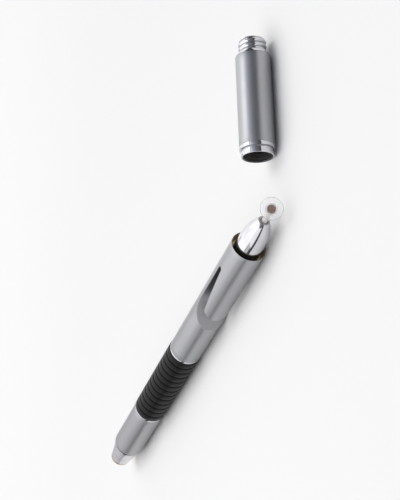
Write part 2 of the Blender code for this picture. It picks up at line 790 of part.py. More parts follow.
def main():
    clear_scene()
    finishes = make_finishes()
    at = split_places()
    size = radii()
    assembly = empty("pen_and_cap")
    pen = empty("pen_axis", assembly, (0, 0, size["grip"]))
    tilt_axis = (0, -math.sin(DISC_TILT_HEADING), math.cos(DISC_TILT_HEADING))
    tilt = Matrix.Rotation(DISC_TILT, 3, tilt_axis).to_quaternion()
    disc_joint = empty("disc_joint", pen, (NOSE_REACH + BALL_REACH, 0, 0), tilt)
    turn = Matrix.Rotation(CAP_HEADING, 3, "Z").to_quaternion()
    cap = empty("cap_axis", assembly, (*CAP_PLACE, BARREL_RADIUS), turn)

    build_upper_barrel(finishes, pen, size)
    build_thread_collar(finishes, pen, size)
    build_stylus_nose(finishes, pen, size)
    build_stem(finishes, pen, size)
    build_disc(finishes, disc_joint)
    build_cam_sleeve(finishes, pen, at, size)
    build_refill(finishes, pen, at, size)
    build_grip(finishes, pen, at, size)
    build_lower_barrel(finishes, pen, at, size)
    build_pen_nose(finishes, pen, at, size)
    build_cap(finishes, cap, size)
    stand_on_floor(assembly)


if __name__ == "__main__":
    main()
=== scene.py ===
"""Looks of a stylus ballpoint pen that lies on a white table, with its cap taken off.

The frame's solids give every axis and place. Four sealed pieces of the twist action keep
their solids, and every other piece is modelled again here as a fine mesh that takes the
place of its solid. Each piece gets a finish of its own. Lengths are metres.
Along the pen, x = 0 is the mouth of the upper barrel and +x points to the stylus disc.
Along the cap, x = 0 is its mouth and +x points to its threaded stub.
"""

import json
import logging
import math
from abc import ABC, abstractmethod
from collections.abc import Callable
from dataclasses import dataclass, field
from enum import Enum
from typing import Any

import bmesh
import bpy
from mathutils import Euler, Matrix, Vector


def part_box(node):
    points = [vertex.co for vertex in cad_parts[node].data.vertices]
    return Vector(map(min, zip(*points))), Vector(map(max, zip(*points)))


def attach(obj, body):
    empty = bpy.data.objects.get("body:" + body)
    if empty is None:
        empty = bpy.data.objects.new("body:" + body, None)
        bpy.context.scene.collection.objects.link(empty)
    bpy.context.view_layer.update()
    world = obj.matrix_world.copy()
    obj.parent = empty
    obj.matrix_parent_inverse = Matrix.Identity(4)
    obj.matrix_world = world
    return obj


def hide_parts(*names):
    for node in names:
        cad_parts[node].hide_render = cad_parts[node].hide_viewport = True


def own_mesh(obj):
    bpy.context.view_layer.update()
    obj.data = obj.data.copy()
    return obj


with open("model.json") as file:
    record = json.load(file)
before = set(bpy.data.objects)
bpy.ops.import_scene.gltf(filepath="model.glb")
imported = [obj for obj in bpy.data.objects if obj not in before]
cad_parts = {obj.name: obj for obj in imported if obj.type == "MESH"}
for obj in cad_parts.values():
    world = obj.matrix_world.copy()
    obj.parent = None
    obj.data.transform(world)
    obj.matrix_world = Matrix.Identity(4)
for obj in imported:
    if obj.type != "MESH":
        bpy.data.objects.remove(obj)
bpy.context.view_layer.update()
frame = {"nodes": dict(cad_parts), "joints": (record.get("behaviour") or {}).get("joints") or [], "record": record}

MM = 0.001
WELD = 1e-7
NEAR = 0.001 * MM

Point = tuple[float, float]
Outline = list[Point]
Colour = tuple[float, float, float]
Sockets = dict[str | int, object]

log = logging.getLogger("pen")
materials: dict[tuple["Finish", str], bpy.types.Material] = {}


class Body(Enum):
    """The bodies of the frame that pieces ride on."""

    UPPER = "upper_section"
    LOWER = "lower_section"
    REFILL = "refill"
    STEM = "stem"
    BALL = "ball"
    HUB = "hub"
    DISC = "disc"
    CAP = "cap"


class Slot(Enum):
    """The record's material slots."""

    SATIN = "satin_aluminium"
    CHROME = "polished_chrome"
    RUBBER = "black_rubber"
    BLACK = "gloss_black"
    CLEAR = "clear_plastic"
    BROWN = "brown_contact"
    BRASS = "turned_brass"
    STEEL = "spring_steel"
    MOULDED = "moulded_plastic"
    INK = "ink_tube"


class Sides(Enum):
    """How many sides a turned piece has, by how large it shows."""

    BARREL = 192
    TIP = 96
    INNER = 64
    WIRE = 12


class Facing(Enum):
    """The way that a lamp of the light tent shines, by the side that it hangs on."""

    ROOF = (0, 0, -1)
    NEAR_WALL = (0, 1, 0)
    FAR_WALL = (0, -1, 0)
    BACK_WALL = (1, 0, 0)


@dataclass(frozen=True)
class Seat:
    """The axis that a turned piece is made on: its local x runs along it from the origin."""

    name: str
    origin: Vector
    axis: Vector

    def matrix(self) -> Matrix:
        """The step from the piece's own place to the frame's."""
        turn = Vector((1, 0, 0)).rotation_difference(self.axis).to_matrix().to_4x4()
        return Matrix.Translation(self.origin) @ turn


@dataclass(frozen=True)
class Thread:
    """A spiral ridge on a stretch of a turned piece, which fades in and out at its ends."""

    start: float
    end: float
    pitch: float
    depth: float
    radius: float
    reach: float = 0.02 * MM
    fade_turns: float = 0.35
    fullness: float = 0.8

    def lift(self, x: float, turn: float) -> float:
        """How far the ridge stands out.

        Args:
            x: Place along the axis.
            turn: Angle about the axis.

        Returns:
            The distance along the radius, from 0 to the thread's depth.
        """
        phase = (x - self.start) / self.pitch - turn / math.tau
        wave = 0.5 - 0.5 * math.cos(math.tau * phase)
        fade = min(x - self.start, self.end - x) / (self.fade_turns * self.pitch)
        return self.depth * wave**self.fullness * max(0.0, min(1.0, fade))


def stretch(start: Point, end: Point, steps: int) -> Outline:
    """Outline points on a straight line.

    Args:
        start: First point, as (x, radius).
        end: Last point.
        steps: Number of equal steps between them.

    Returns:
        The points, both ends among them.
    """
    shares = [step / steps for step in range(steps + 1)]
    return [(start[0] + (end[0] - start[0]) * s, start[1] + (end[1] - start[1]) * s) for s in shares]


def arc(centre: Point, radius: float, first: float, last: float, steps: int) -> Outline:
    """Outline points on an arc.

    Args:
        centre: Centre, as (x, radius).
        radius: Radius of the arc.
        first: Angle of the first point, from +x towards the outside.
        last: Angle of the last point.
        steps: Number of equal steps between them.

    Returns:
        The points, both ends among them.
    """
    turns = [first + (last - first) * step / steps for step in range(steps + 1)]
    return [(centre[0] + radius * math.cos(a), centre[1] + radius * math.sin(a)) for a in turns]


def ball_outline(middle: float, radius: float, steps: int) -> Outline:
    """Outline of a ball, with both ends on the axis.

    Args:
        middle: Place of the ball's middle along the axis.
        radius: Radius of the ball.
        steps: Number of equal steps from end to end.

    Returns:
        The points.
    """
    round_part = arc((middle, 0.0), radius, math.pi, 0.0, steps)[1:-1]
    return [(middle - radius, 0.0), *round_part, (middle + radius, 0.0)]


def ring_outline(start: float, end: float, outer: float, inner: float = 0.0) -> Outline:
    """Outline of a plain ring, or of a plain rod where it has no hole.

    Args:
        start: Where it starts along the axis.
        end: Where it ends.
        outer: Radius outside.
        inner: Radius of the hole.

    Returns:
        The four corners.
    """
    return [(start, inner), (start, outer), (end, outer), (end, inner)]


def clear_bench() -> None:
    """Leaves edit mode and deselects everything."""
    if bpy.context.mode != "OBJECT":
        bpy.ops.object.mode_set(mode="OBJECT")
    bpy.ops.object.select_all(action="DESELECT")


class Blank:
    """A piece on the bench: each method is a modelling step done with operators."""

    ROUND_ABOVE = math.radians(28)
    EDGE_STEPS = 3
    CORNER_STEPS = 12

    def __init__(self, piece: bpy.types.Object, name: str) -> None:
        """Takes a new primitive, with its place in its mesh, into edit mode.

        Args:
            piece: The primitive, selected and active.
            name: Name of the finished piece.
        """
        self.piece = piece
        piece.name = name
        piece.data.name = name
        bpy.ops.object.transform_apply(location=True, rotation=True, scale=True)
        bpy.ops.object.mode_set(mode="EDIT")
        bpy.ops.mesh.select_all(action="SELECT")

    @classmethod
    def turned(cls, name: str, outline: Outline, sides: Sides) -> "Blank":
        """Turns an outline about the x axis by drawing a circle out ring by ring.

        Args:
            name: Name of the piece.
            outline: Points as (x, radius). An end on the axis closes there, and an
                outline with both ends off the axis closes on itself.
            sides: Number of sides.

        Returns:
            The blank, in edit mode.
        """
        rings = [point for point in outline if point[1] > 0]
        clear_bench()
        bpy.ops.mesh.primitive_circle_add(
            vertices=sides.value,
            radius=rings[0][1],
            location=(rings[0][0], 0, 0),
            rotation=(0, math.pi / 2, 0),
        )
        blank = cls(bpy.context.object, name)
        for before, after in zip(rings, rings[1:]):
            blank._draw_out(before, after)
        starts_on_axis = outline[0][1] == 0
        ends_on_axis = outline[-1][1] == 0
        if ends_on_axis:
            blank._close_on_axis(rings[-1][0], outline[-1][0])
        if starts_on_axis:
            blank._pick_ring(rings[0])
            blank._close_on_axis(rings[0][0], outline[0][0])
        if not (starts_on_axis or ends_on_axis):
            blank._draw_out(rings[-1], rings[0])
        return blank._weld()

    @classmethod
    def prism(cls, name: str, corners: Outline, rounds: dict[int, float], height: float) -> "Blank":
        """Draws a flat outline out along z to both sides, with some corners rounded.

        Args:
            name: Name of the piece.
            corners: Corners as (x, y).
            rounds: Length of the rounding by the corner's number.
            height: How far it reaches to each side.

        Returns:
            The blank, in edit mode.
        """
        clear_bench()
        bpy.ops.mesh.primitive_circle_add(vertices=len(corners), fill_type="NGON")
        places = [Vector((x, y, -height)) for x, y in corners]
        for vertex, place in zip(bpy.context.object.data.vertices, places):
            vertex.co = place
        blank = cls(bpy.context.object, name)
        for corner, width in rounds.items():
            blank._pick(lambda co, spot=places[corner]: (co - spot).length < WELD)
            bpy.ops.mesh.bevel(affect="VERTICES", offset=width, segments=cls.CORNER_STEPS)
        bpy.ops.mesh.select_all(action="SELECT")
        bpy.ops.mesh.extrude_region_move(TRANSFORM_OT_translate={"value": (0, 0, 2 * height)})
        return blank._weld()

    @classmethod
    def coil(cls, name: str, ends: Point, radius: float, wire: float, curls: int) -> "Blank":
        """Winds a round wire about the x axis.

        Args:
            name: Name of the piece.
            ends: First and last place of the wire's middle along x.
            radius: Radius of the coil at the wire's middle.
            wire: Radius of the wire.
            curls: Number of turns.

        Returns:
            The blank, in edit mode.
        """
        clear_bench()
        place = (ends[0], radius, 0)
        bpy.ops.mesh.primitive_circle_add(vertices=Sides.WIRE.value, radius=wire, location=place)
        blank = cls(bpy.context.object, name)
        blank._lay_out()
        winding = blank.piece.modifiers.new("winding", "SCREW")
        winding.axis = "X"
        winding.screw_offset = (ends[1] - ends[0]) / curls
        winding.iterations = curls
        winding.steps = winding.render_steps = Sides.INNER.value
        bpy.ops.object.modifier_apply(modifier=winding.name)
        bpy.ops.object.mode_set(mode="EDIT")
        bpy.ops.mesh.select_all(action="DESELECT")
        bpy.ops.mesh.select_non_manifold()
        bpy.ops.mesh.fill_holes(sides=0)
        return blank._weld()

    def _lay_out(self) -> None:
        """Leaves edit mode with only this piece selected and active."""
        clear_bench()
        self.piece.select_set(True)
        bpy.context.view_layer.objects.active = self.piece

    def _weld(self) -> "Blank":
        """Merges doubles and points the faces outwards.

        Returns:
            This blank.
        """
        bpy.ops.mesh.select_all(action="SELECT")
        bpy.ops.mesh.remove_doubles(threshold=WELD)
        bpy.ops.mesh.normals_make_consistent(inside=False)
        return self

    def _draw_out(self, before: Point, after: Point) -> None:
        """Extrudes the selected ring to the next point of the outline.

        Args:
            before: The ring's own point, as (x, radius).
            after: The next point.
        """
        step = {"value": (after[0] - before[0], 0, 0)}
        bpy.ops.mesh.extrude_edges_move(TRANSFORM_OT_translate=step)
        grow = after[1] / before[1]
        bpy.ops.transform.resize(value=(1, grow, grow), center_override=(after[0], 0, 0))

    def _close_on_axis(self, ring_x: float, axis_x: float) -> None:
        """Closes the selected ring in one point on the axis."""
        bpy.ops.mesh.extrude_edges_move(TRANSFORM_OT_translate={"value": (axis_x - ring_x, 0, 0)})
        bpy.ops.mesh.merge(type="CENTER")

    def _pick(self, wanted: Callable[[Vector], bool]) -> None:
        """Selects some vertices and nothing else.

        Args:
            wanted: Says by a vertex's place whether it is selected.
        """
        bpy.ops.mesh.select_all(action="DESELECT")
        shape = bmesh.from_edit_mesh(self.piece.data)
        for vertex in shape.verts:
            vertex.select = wanted(vertex.co)
        shape.select_flush(True)
        bmesh.update_edit_mesh(self.piece.data)

    def _pick_ring(self, ring: Point) -> None:
        """Selects the ring at a point of the outline."""
        x, radius = ring
        self._pick(lambda co: abs(co.x - x) < NEAR and abs(math.hypot(co.y, co.z) - radius) < NEAR)

    def round_edges(self, width: float) -> "Blank":
        """Bevels every sharp edge.

        Args:
            width: Width of the bevel.

        Returns:
            This blank.
        """
        bpy.ops.mesh.select_all(action="DESELECT")
        bpy.ops.mesh.select_mode(type="EDGE")
        bpy.ops.mesh.edges_select_sharp(sharpness=self.ROUND_ABOVE)
        bpy.ops.mesh.bevel(offset=width, segments=self.EDGE_STEPS, affect="EDGES", clamp_overlap=True)
        bpy.ops.mesh.select_mode(type="VERT")
        return self

    def thread(self, thread: Thread) -> "Blank":
        """Moves the vertices of a threaded stretch out along their radius.

        Args:
            thread: The spiral ridge.

        Returns:
            This blank.
        """
        shape = bmesh.from_edit_mesh(self.piece.data)
        for vertex in shape.verts:
            x, y, z = vertex.co
            radius = math.hypot(y, z)
            if thread.start <= x <= thread.end and abs(radius - thread.radius) < thread.reach:
                grow = 1 + thread.lift(x, math.atan2(z, y)) / radius
                vertex.co = (x, y * grow, z * grow)
        bmesh.update_edit_mesh(self.piece.data)
        bpy.ops.mesh.normals_make_consistent(inside=False)
        return self

    def cut(self, cutter: "Blank") -> "Blank":
        """Cuts another blank out of this one, and removes that one.

        Args:
            cutter: The shape to take away.

        Returns:
            This blank, in edit mode.
        """
        self._lay_out()
        modifier = self.piece.modifiers.new("cut", "BOOLEAN")
        modifier.operation = "DIFFERENCE"
        modifier.solver = "EXACT"
        modifier.object = cutter.piece
        bpy.ops.object.modifier_apply(modifier=modifier.name)
        bpy.data.objects.remove(cutter.piece, do_unlink=True)
        bpy.ops.object.mode_set(mode="EDIT")
        return self

    def done(self, seat: Seat) -> bpy.types.Object:
        """Puts the piece on its seat, with the place in its mesh, and shades it.

        Args:
            seat: The axis that it was made on.

        Returns:
            The finished object, at the origin.
        """
        self._lay_out()
        self.piece.matrix_world = seat.matrix()
        bpy.ops.object.transform_apply(location=True, rotation=True, scale=True)
        bpy.ops.object.shade_smooth_by_angle(angle=self.ROUND_ABOVE)
        return self.piece


class Wire:
    """An output of a shader node. Maths on it is written with operators."""

    def __init__(self, sheet: "ShaderSheet", socket: bpy.types.NodeSocket) -> None:
        """Wraps an output socket of a node on a sheet."""
        self.sheet = sheet
        self.socket = socket

    def __add__(self, other: "Wire | float") -> "Wire":
        """The sum."""
        return self.sheet.math("ADD", self, other)

    def __radd__(self, other: float) -> "Wire":
        """The sum, with the number first."""
        return self.sheet.math("ADD", other, self)

    def __sub__(self, other: "Wire | float") -> "Wire":
        """The difference."""
        return self.sheet.math("SUBTRACT", self, other)

    def __rsub__(self, other: float) -> "Wire":
        """The difference, with the number first."""
        return self.sheet.math("SUBTRACT", other, self)

    def __mul__(self, other: "Wire | float") -> "Wire":
        """The product."""
        return self.sheet.math("MULTIPLY", self, other)

    def __rmul__(self, other: float) -> "Wire":
        """The product, with the number first."""
        return self.sheet.math("MULTIPLY", other, self)

    def __pow__(self, other: float) -> "Wire":
        """The power."""
        return self.sheet.math("POWER", self, other)


class ShaderSheet:
    """A node tree that is being written."""

    def __init__(self, tree: bpy.types.NodeTree) -> None:
        """Empties the node tree of a material or a world."""
        self.tree = tree
        tree.nodes.clear()

    def add(self, kind: str, settings: dict[str, object], sockets: Sockets) -> bpy.types.Node:
        """Adds one node.

        Args:
            kind: The node's type.
            settings: Its own settings, set first.
            sockets: Values or wires of its inputs, by name or number.

        Returns:
            The node.
        """
        node = self.tree.nodes.new(kind)
        for name, value in settings.items():
            setattr(node, name, value)
        for key, value in sockets.items():
            if isinstance(value, Wire):
                self.tree.links.new(value.socket, node.inputs[key])
            else:
                node.inputs[key].default_value = value
        return node

    def wire(self, node: bpy.types.Node, output: str | int = 0) -> Wire:
        """An output of a node, as a wire."""
        return Wire(self, node.outputs[output])

    def math(self, operation: str, *values: "Wire | float") -> Wire:
        """A Math node on wires and numbers."""
        node = self.add("ShaderNodeMath", {"operation": operation}, dict(enumerate(values)))
        return self.wire(node)

    def noise(self, vector: Wire, size: float, detail: float = 2.0) -> Wire:
        """Noise from 0 to 1, with blotches of a size and some finer layers, read at a place."""
        sockets = {"Vector": vector, "Scale": 1.0 / size, "Detail": detail}
        return self.wire(self.add("ShaderNodeTexNoise", {}, sockets), "Fac")

    def rings(self, along: Wire, size: float) -> Wire:
        """Noise from 0 to 1 that changes along the axis only, as the marks of turning do."""
        sockets = {"W": along, "Scale": 1.0 / size, "Detail": 3.0}
        return self.wire(self.add("ShaderNodeTexNoise", {"noise_dimensions": "1D"}, sockets), "Fac")

    def ease(self, value: Wire, low: float, high: float) -> Wire:
        """A smooth step.

        Args:
            value: What is stepped.
            low: Where the step starts, at 0.
            high: Where it ends, at 1.

        Returns:
            The step, from 0 to 1.
        """
        settings = {"interpolation_type": "SMOOTHSTEP"}
        sockets = {"Value": value, "From Min": low, "From Max": high}
        return self.wire(self.add("ShaderNodeMapRange", settings, sockets), "Result")

    def blend(self, share: Wire, first: "Wire | Colour", second: "Wire | Colour") -> Wire:
        """A colour between two.

        Args:
            share: Share of the second colour, from 0 to 1.
            first: The first colour.
            second: The second colour.

        Returns:
            The blended colour.
        """
        ends = [c if isinstance(c, Wire) else (*c, 1.0) for c in (first, second)]
        sockets = {"Factor": share, 6: ends[0], 7: ends[1]}
        return self.wire(self.add("ShaderNodeMix", {"data_type": "RGBA"}, sockets), 2)

    def parts(self, vector: Wire) -> tuple[Wire, Wire, Wire]:
        """The x, y and z of a vector."""
        node = self.add("ShaderNodeSeparateXYZ", {}, {"Vector": vector})
        return self.wire(node, 0), self.wire(node, 1), self.wire(node, 2)

    def axis_parts(self, vector: Wire) -> tuple[Wire, Wire]:
        """The distance along the x axis and the distance from it."""
        along, across, up = self.parts(vector)
        return along, self.math("SQRT", across**2 + up**2)

    def bump(self, height: Wire, rise: float) -> Wire:
        """A normal from a height of 0 to 1, which stands for a rise in metres."""
        sockets = {"Height": height, "Distance": rise, "Strength": 1.0}
        return self.wire(self.add("ShaderNodeBump", {}, sockets), "Normal")


def scaled(colour: Colour, share: float, lift: float = 0.0) -> Colour:
    """A colour made darker or lighter by a share, and then lifted."""
    red, green, blue = colour
    return share * red + lift, share * green + lift, share * blue + lift


@dataclass(frozen=True)
class Finish(ABC):
    """A surface finish. Its pattern is centred on the seat of the piece that it is put on."""

    @property
    @abstractmethod
    def slot(self) -> Slot:
        """The record's slot for this finish."""

    @abstractmethod
    def sockets(self, sheet: ShaderSheet, local: Wire) -> Sockets:
        """The Principled shader's inputs.

        Args:
            sheet: The material's sheet.
            local: Place on the piece, in its seat's own axes.

        Returns:
            Values or wires by socket name.
        """

    def on(self, seat: Seat) -> bpy.types.Material:
        """The finish's material for one seat, made when it is first asked for.

        Args:
            seat: Axis of the piece.

        Returns:
            The material.
        """
        key = (self, seat.name)
        if key not in materials:
            materials[key] = self._write(seat)
        return materials[key]

    def _write(self, seat: Seat) -> bpy.types.Material:
        """Writes the material for one seat.

        Args:
            seat: Axis of the piece.

        Returns:
            The new material.
        """
        material = bpy.data.materials.new(f"{self.slot.value}_on_{seat.name}")
        material.use_nodes = True
        sheet = ShaderSheet(material.node_tree)
        inverse = seat.matrix().inverted()
        mapping = {
            "Vector": sheet.wire(sheet.add("ShaderNodeTexCoord", {}, {}), "Object"),
            "Location": inverse.to_translation(),
            "Rotation": inverse.to_euler(),
        }
        local = sheet.wire(sheet.add("ShaderNodeMapping", {"vector_type": "POINT"}, mapping))
        shader = sheet.add("ShaderNodeBsdfPrincipled", {}, self.sockets(sheet, local))
        sheet.add("ShaderNodeOutputMaterial", {}, {"Surface": sheet.wire(shader)})
        return material


@dataclass(frozen=True)
class SatinAluminium(Finish):
    """Bead-blasted and anodised aluminium with faint turning marks and handling smears.

    Inside its skin radius it is milled and a little darker, and inside its bore it is golden.
    """

    slot = Slot.SATIN
    colour: Colour = (0.408, 0.41, 0.425)
    tone: float = 0.05
    cloud_size: float = 9 * MM
    mark_size: float = 0.16 * MM
    mark_share: float = 0.4
    roughness: float = 0.37
    smear_size: float = 3.5 * MM
    smear_gloss: float = 0.08
    mark_gloss: float = 0.04
    grain_size: float = 0.09 * MM
    grain_rise: float = 0.003 * MM
    soft: float = 0.06 * MM
    milled: float = 0.82
    skin_radius: float = 0.0
    bore_colour: Colour = (0.96, 0.70, 0.43)
    bore_metal: float = 0.5
    bore_radius: float = 0.0
    bore_floor: float = 0.0

    def sockets(self, sheet: ShaderSheet, local: Wire) -> Sockets:
        """Clouds and turning marks in the colour, smears in the gloss and a fine grain.

        Args:
            sheet: The material's sheet.
            local: Place on the piece, in its seat's own axes.

        Returns:
            Values or wires by socket name.
        """
        along, radius = sheet.axis_parts(local)
        cloud = sheet.noise(local, self.cloud_size)
        smear = sheet.noise(local, self.smear_size, 4.0)
        marks = sheet.rings(along, self.mark_size)
        grain = sheet.noise(local, self.grain_size)
        share = (1 - self.mark_share) * cloud + self.mark_share * marks
        colour = sheet.blend(share, scaled(self.colour, 1 - self.tone), scaled(self.colour, 1 + self.tone))
        metallic: Wire | float = 1.0
        if self.skin_radius > 0:
            skin = self.skin_radius - self.soft
            cut = 1 - sheet.ease(radius, skin - self.soft, skin)
            colour = sheet.blend(cut, colour, scaled(self.colour, self.milled))
        if self.bore_radius > 0:
            inside = 1 - sheet.ease(radius, self.bore_radius, self.bore_radius + self.soft)
            inside = inside * sheet.ease(along, self.bore_floor, self.bore_floor + self.soft)
            colour = sheet.blend(inside, colour, self.bore_colour)
            metallic = 1 - (1 - self.bore_metal) * inside
        gloss = self.smear_gloss * (smear - 0.5) + self.mark_gloss * (marks - 0.5)
        return {
            "Base Color": colour,
            "Metallic": metallic,
            "Roughness": self.roughness + gloss,
            "Normal": sheet.bump(grain + 0.5 * marks, self.grain_rise),
        }


@dataclass(frozen=True)
class PolishedChrome(Finish):
    """Bright plating with polishing marks and finger smears.

    It takes a painted warm reflection between two places along its rounded end, outside a radius, and painted
    shade between two places inside a radius, where a groove or gap lies in shade.
    """

    slot = Slot.CHROME
    colour: Colour = (0.65, 0.65, 0.675)
    smeared: float = 0.94
    smear_size: float = 2.5 * MM
    smear_gloss: float = 0.05
    mark_size: float = 0.12 * MM
    mark_gloss: float = 0.02
    mark_rise: float = 0.0004 * MM
    roughness: float = 0.07
    # painted brown reflection for a rounded end, patchy with the smears
    warm_reflection: Colour = (0.46, 0.31, 0.21)
    reflection_from: float = 0.0
    reflection_to: float = 0.0
    reflection_radius: float = 0.0
    reflection_soft: float = 0.1 * MM
    # painted shade for a groove or gap, and where it lies along the axis and inside a radius
    painted_shade: Colour = (0.045, 0.043, 0.045)
    shade_from: float = 0.0
    shade_to: float = 0.0
    shade_radius: float = 0.0
    shade_soft: float = 0.03 * MM
    shade_gloss: float = 0.4

    def sockets(self, sheet: ShaderSheet, local: Wire) -> Sockets:
        """Smears in the colour and gloss, polishing marks, a painted warm reflection and painted shade.

        Args:
            sheet: The material's sheet.
            local: Place on the piece, in its seat's own axes.

        Returns:
            Values or wires by socket name.
        """
        along, radius = sheet.axis_parts(local)
        smear = sheet.noise(local, self.smear_size, 4.0)
        marks = sheet.rings(along, self.mark_size)
        gloss = self.smear_gloss * sheet.ease(smear, 0.4, 0.8) + self.mark_gloss * marks
        roughness = self.roughness + gloss
        colour = sheet.blend(sheet.ease(smear, 0.35, 0.65), self.colour, scaled(self.colour, self.smeared))
        # painted reflection: a warm brown band round the rounded end
        if self.reflection_from != self.reflection_to:
            reflected = sheet.ease(along, self.reflection_from, self.reflection_to) * (0.5 + smear)
            reflected = reflected * sheet.ease(radius, self.reflection_radius - self.reflection_soft, self.reflection_radius)
            colour = sheet.blend(reflected, colour, self.warm_reflection)
        # painted shade: darker, duller chrome inside a groove or gap, where shade falls
        if self.shade_radius > 0:
            soft = self.shade_soft
            in_shade = sheet.ease(along, self.shade_from - soft, self.shade_from)
            in_shade = in_shade * (1 - sheet.ease(along, self.shade_to, self.shade_to + soft))
            in_shade = in_shade * (1 - sheet.ease(radius, self.shade_radius - soft, self.shade_radius))
            colour = sheet.blend(in_shade, colour, self.painted_shade)
            roughness = roughness + self.shade_gloss * in_shade
        return {
            "Base Color": colour,
            "Metallic": 1.0,
            "Roughness": roughness,
            "Normal": sheet.bump(marks, self.mark_rise),
        }


@dataclass(frozen=True)
class MouldedRubber(Finish):
    """Black rubber with a fine moulded grain, with shade painted into its grooves, which are also duller."""

    slot = Slot.RUBBER
    colour: Colour = (0.0108, 0.0106, 0.0113)
    # painted shade colour for the grooves
    groove_shade_colour: Colour = (0.002, 0.002, 0.002)
    groove_radius: float = 4.5 * MM
    crest_radius: float = 4.8 * MM
    roughness: float = 0.38
    crest_gloss: float = 0.08
    sheen: float = 0.125
    grain_size: float = 0.12 * MM
    grain_rise: float = 0.012 * MM
    dust_size: float = 1.6 * MM
    dust_share: float = 1.3
    dust_lift: float = 0.004
    dust_gloss: float = 0.1

    def sockets(self, sheet: ShaderSheet, local: Wire) -> Sockets:
        """Painted shade in the grooves, dusty crests and a moulded grain.

        Args:
            sheet: The material's sheet.
            local: Place on the piece, in its seat's own axes.

        Returns:
            Values or wires by socket name.
        """
        _, radius = sheet.axis_parts(local)
        crest = sheet.ease(radius, self.groove_radius, self.crest_radius)
        grain = sheet.noise(local, self.grain_size, 3.0)
        dust = sheet.noise(local, self.dust_size, 4.0)
        dusty = scaled(self.colour, self.dust_share, self.dust_lift)
        rubbed = sheet.blend(sheet.ease(dust, 0.5, 0.85), self.colour, dusty)
        return {
            # painted shade: the grooves take a much darker colour than the crests
            "Base Color": sheet.blend(crest, self.groove_shade_colour, rubbed),
            "Roughness": self.roughness - self.crest_gloss * crest + self.dust_gloss * (dust - 0.5),
            "Specular IOR Level": self.sheen,
            "Normal": sheet.bump(grain, self.grain_rise),
        }


@dataclass(frozen=True)
class GlossBlack(Finish):
    """Black anodised thread with a soft gloss."""

    slot = Slot.BLACK
    colour: Colour = (0.010, 0.010, 0.011)
    roughness: float = 0.22
    scuffed: float = 3.0
    smear_size: float = 1.2 * MM
    smear_gloss: float = 0.12
    mark_size: float = 0.1 * MM
    mark_gloss: float = 0.05
    mark_rise: float = 0.001 * MM

    def sockets(self, sheet: ShaderSheet, local: Wire) -> Sockets:
        """Scuffs in the colour, smears in the gloss and turning marks.

        Args:
            sheet: The material's sheet.
            local: Place on the piece, in its seat's own axes.

        Returns:
            Values or wires by socket name.
        """
        along, _, _ = sheet.parts(local)
        marks = sheet.rings(along, self.mark_size)
        smear = sheet.noise(local, self.smear_size, 3.0)
        scuffed = scaled(self.colour, self.scuffed)
        return {
            "Base Color": sheet.blend(sheet.ease(smear, 0.55, 0.9), self.colour, scuffed),
            "Roughness": self.roughness + self.smear_gloss * (smear - 0.5) + self.mark_gloss * marks,
            "Normal": sheet.bump(marks, self.mark_rise),
        }


@dataclass(frozen=True)
class ClearPlastic(Finish):
    """Clear moulded plastic with a faint haze and a grey rim, partly the plastic's own tint seen through its edge
    and partly painted shade for the dark line that light reflected inside the disc gives, or a frosted kind of it.
    """

    slot = Slot.CLEAR
    colour: Colour = (0.97, 0.97, 0.965)
    # grey rim: partly the edge's own tint, partly painted shade
    rim_tint_and_shade: Colour = (0.36, 0.37, 0.38)
    rim_radius: float = 0.0
    rim_width: float = 0.08 * MM
    cover: float = 0.07
    rim_cover: float = 0.45
    roughness: float = 0.04
    haze_size: float = 0.8 * MM
    haze_gloss: float = 0.06
    scratch_size: float = 0.15 * MM
    scratch_rise: float = 0.0006 * MM

    def sockets(self, sheet: ShaderSheet, local: Wire) -> Sockets:
        """Haze in the cover and gloss, fine scratches, and the rim where there is one.

        Args:
            sheet: The material's sheet.
            local: Place on the piece, in its seat's own axes.

        Returns:
            Values or wires by socket name.
        """
        haze = sheet.noise(local, self.haze_size, 4.0)
        scratch = sheet.noise(local, self.scratch_size, 5.0)
        colour: Wire | tuple[float, ...] = (*self.colour, 1.0)
        cover = self.cover * (0.8 + 0.4 * haze)
        if self.rim_radius > 0:
            _, radius = sheet.axis_parts(local)
            rim = sheet.ease(radius, self.rim_radius - self.rim_width, self.rim_radius)
            # grey rim: partly the edge's own tint, partly painted shade for the line that light reflected inside
            # the disc gives
            colour = sheet.blend(rim, self.colour, self.rim_tint_and_shade)
            cover = cover + (self.rim_cover - self.cover) * rim
        return {
            "Base Color": colour,
            "Alpha": cover,
            "Specular IOR Level": 1.0,
            "Roughness": self.roughness + self.haze_gloss * sheet.ease(haze, 0.5, 0.8),
            "Normal": sheet.bump(scratch, self.scratch_rise),
        }


@dataclass(frozen=True)
class MilkyPlastic(Finish):
    """Pale moulded plastic that lets some light through."""

    slot = Slot.MOULDED
    colour: Colour = (0.82, 0.775, 0.76)
    shade: Colour = (0.77, 0.715, 0.695)
    roughness: float = 0.3
    cloud_size: float = 0.9 * MM
    cloud_gloss: float = 0.1
    scatter: Colour = (1.0, 0.9, 0.85)
    scatter_length: float = 0.7 * MM
    clearness: float = 0.1

    def sockets(self, sheet: ShaderSheet, local: Wire) -> Sockets:
        """Clouds in the colour and gloss, with light scattered below the surface.

        Args:
            sheet: The material's sheet.
            local: Place on the piece, in its seat's own axes.

        Returns:
            Values or wires by socket name.
        """
        cloud = sheet.noise(local, self.cloud_size, 3.0)
        return {
            "Base Color": sheet.blend(sheet.ease(cloud, 0.35, 0.7), self.colour, self.shade),
            "Subsurface Weight": 1.0,
            "Subsurface Radius": self.scatter,
            "Subsurface Scale": self.scatter_length,
            "Transmission Weight": self.clearness,
            "IOR": 1.45,
            "Roughness": self.roughness + self.cloud_gloss * (cloud - 0.5),
        }


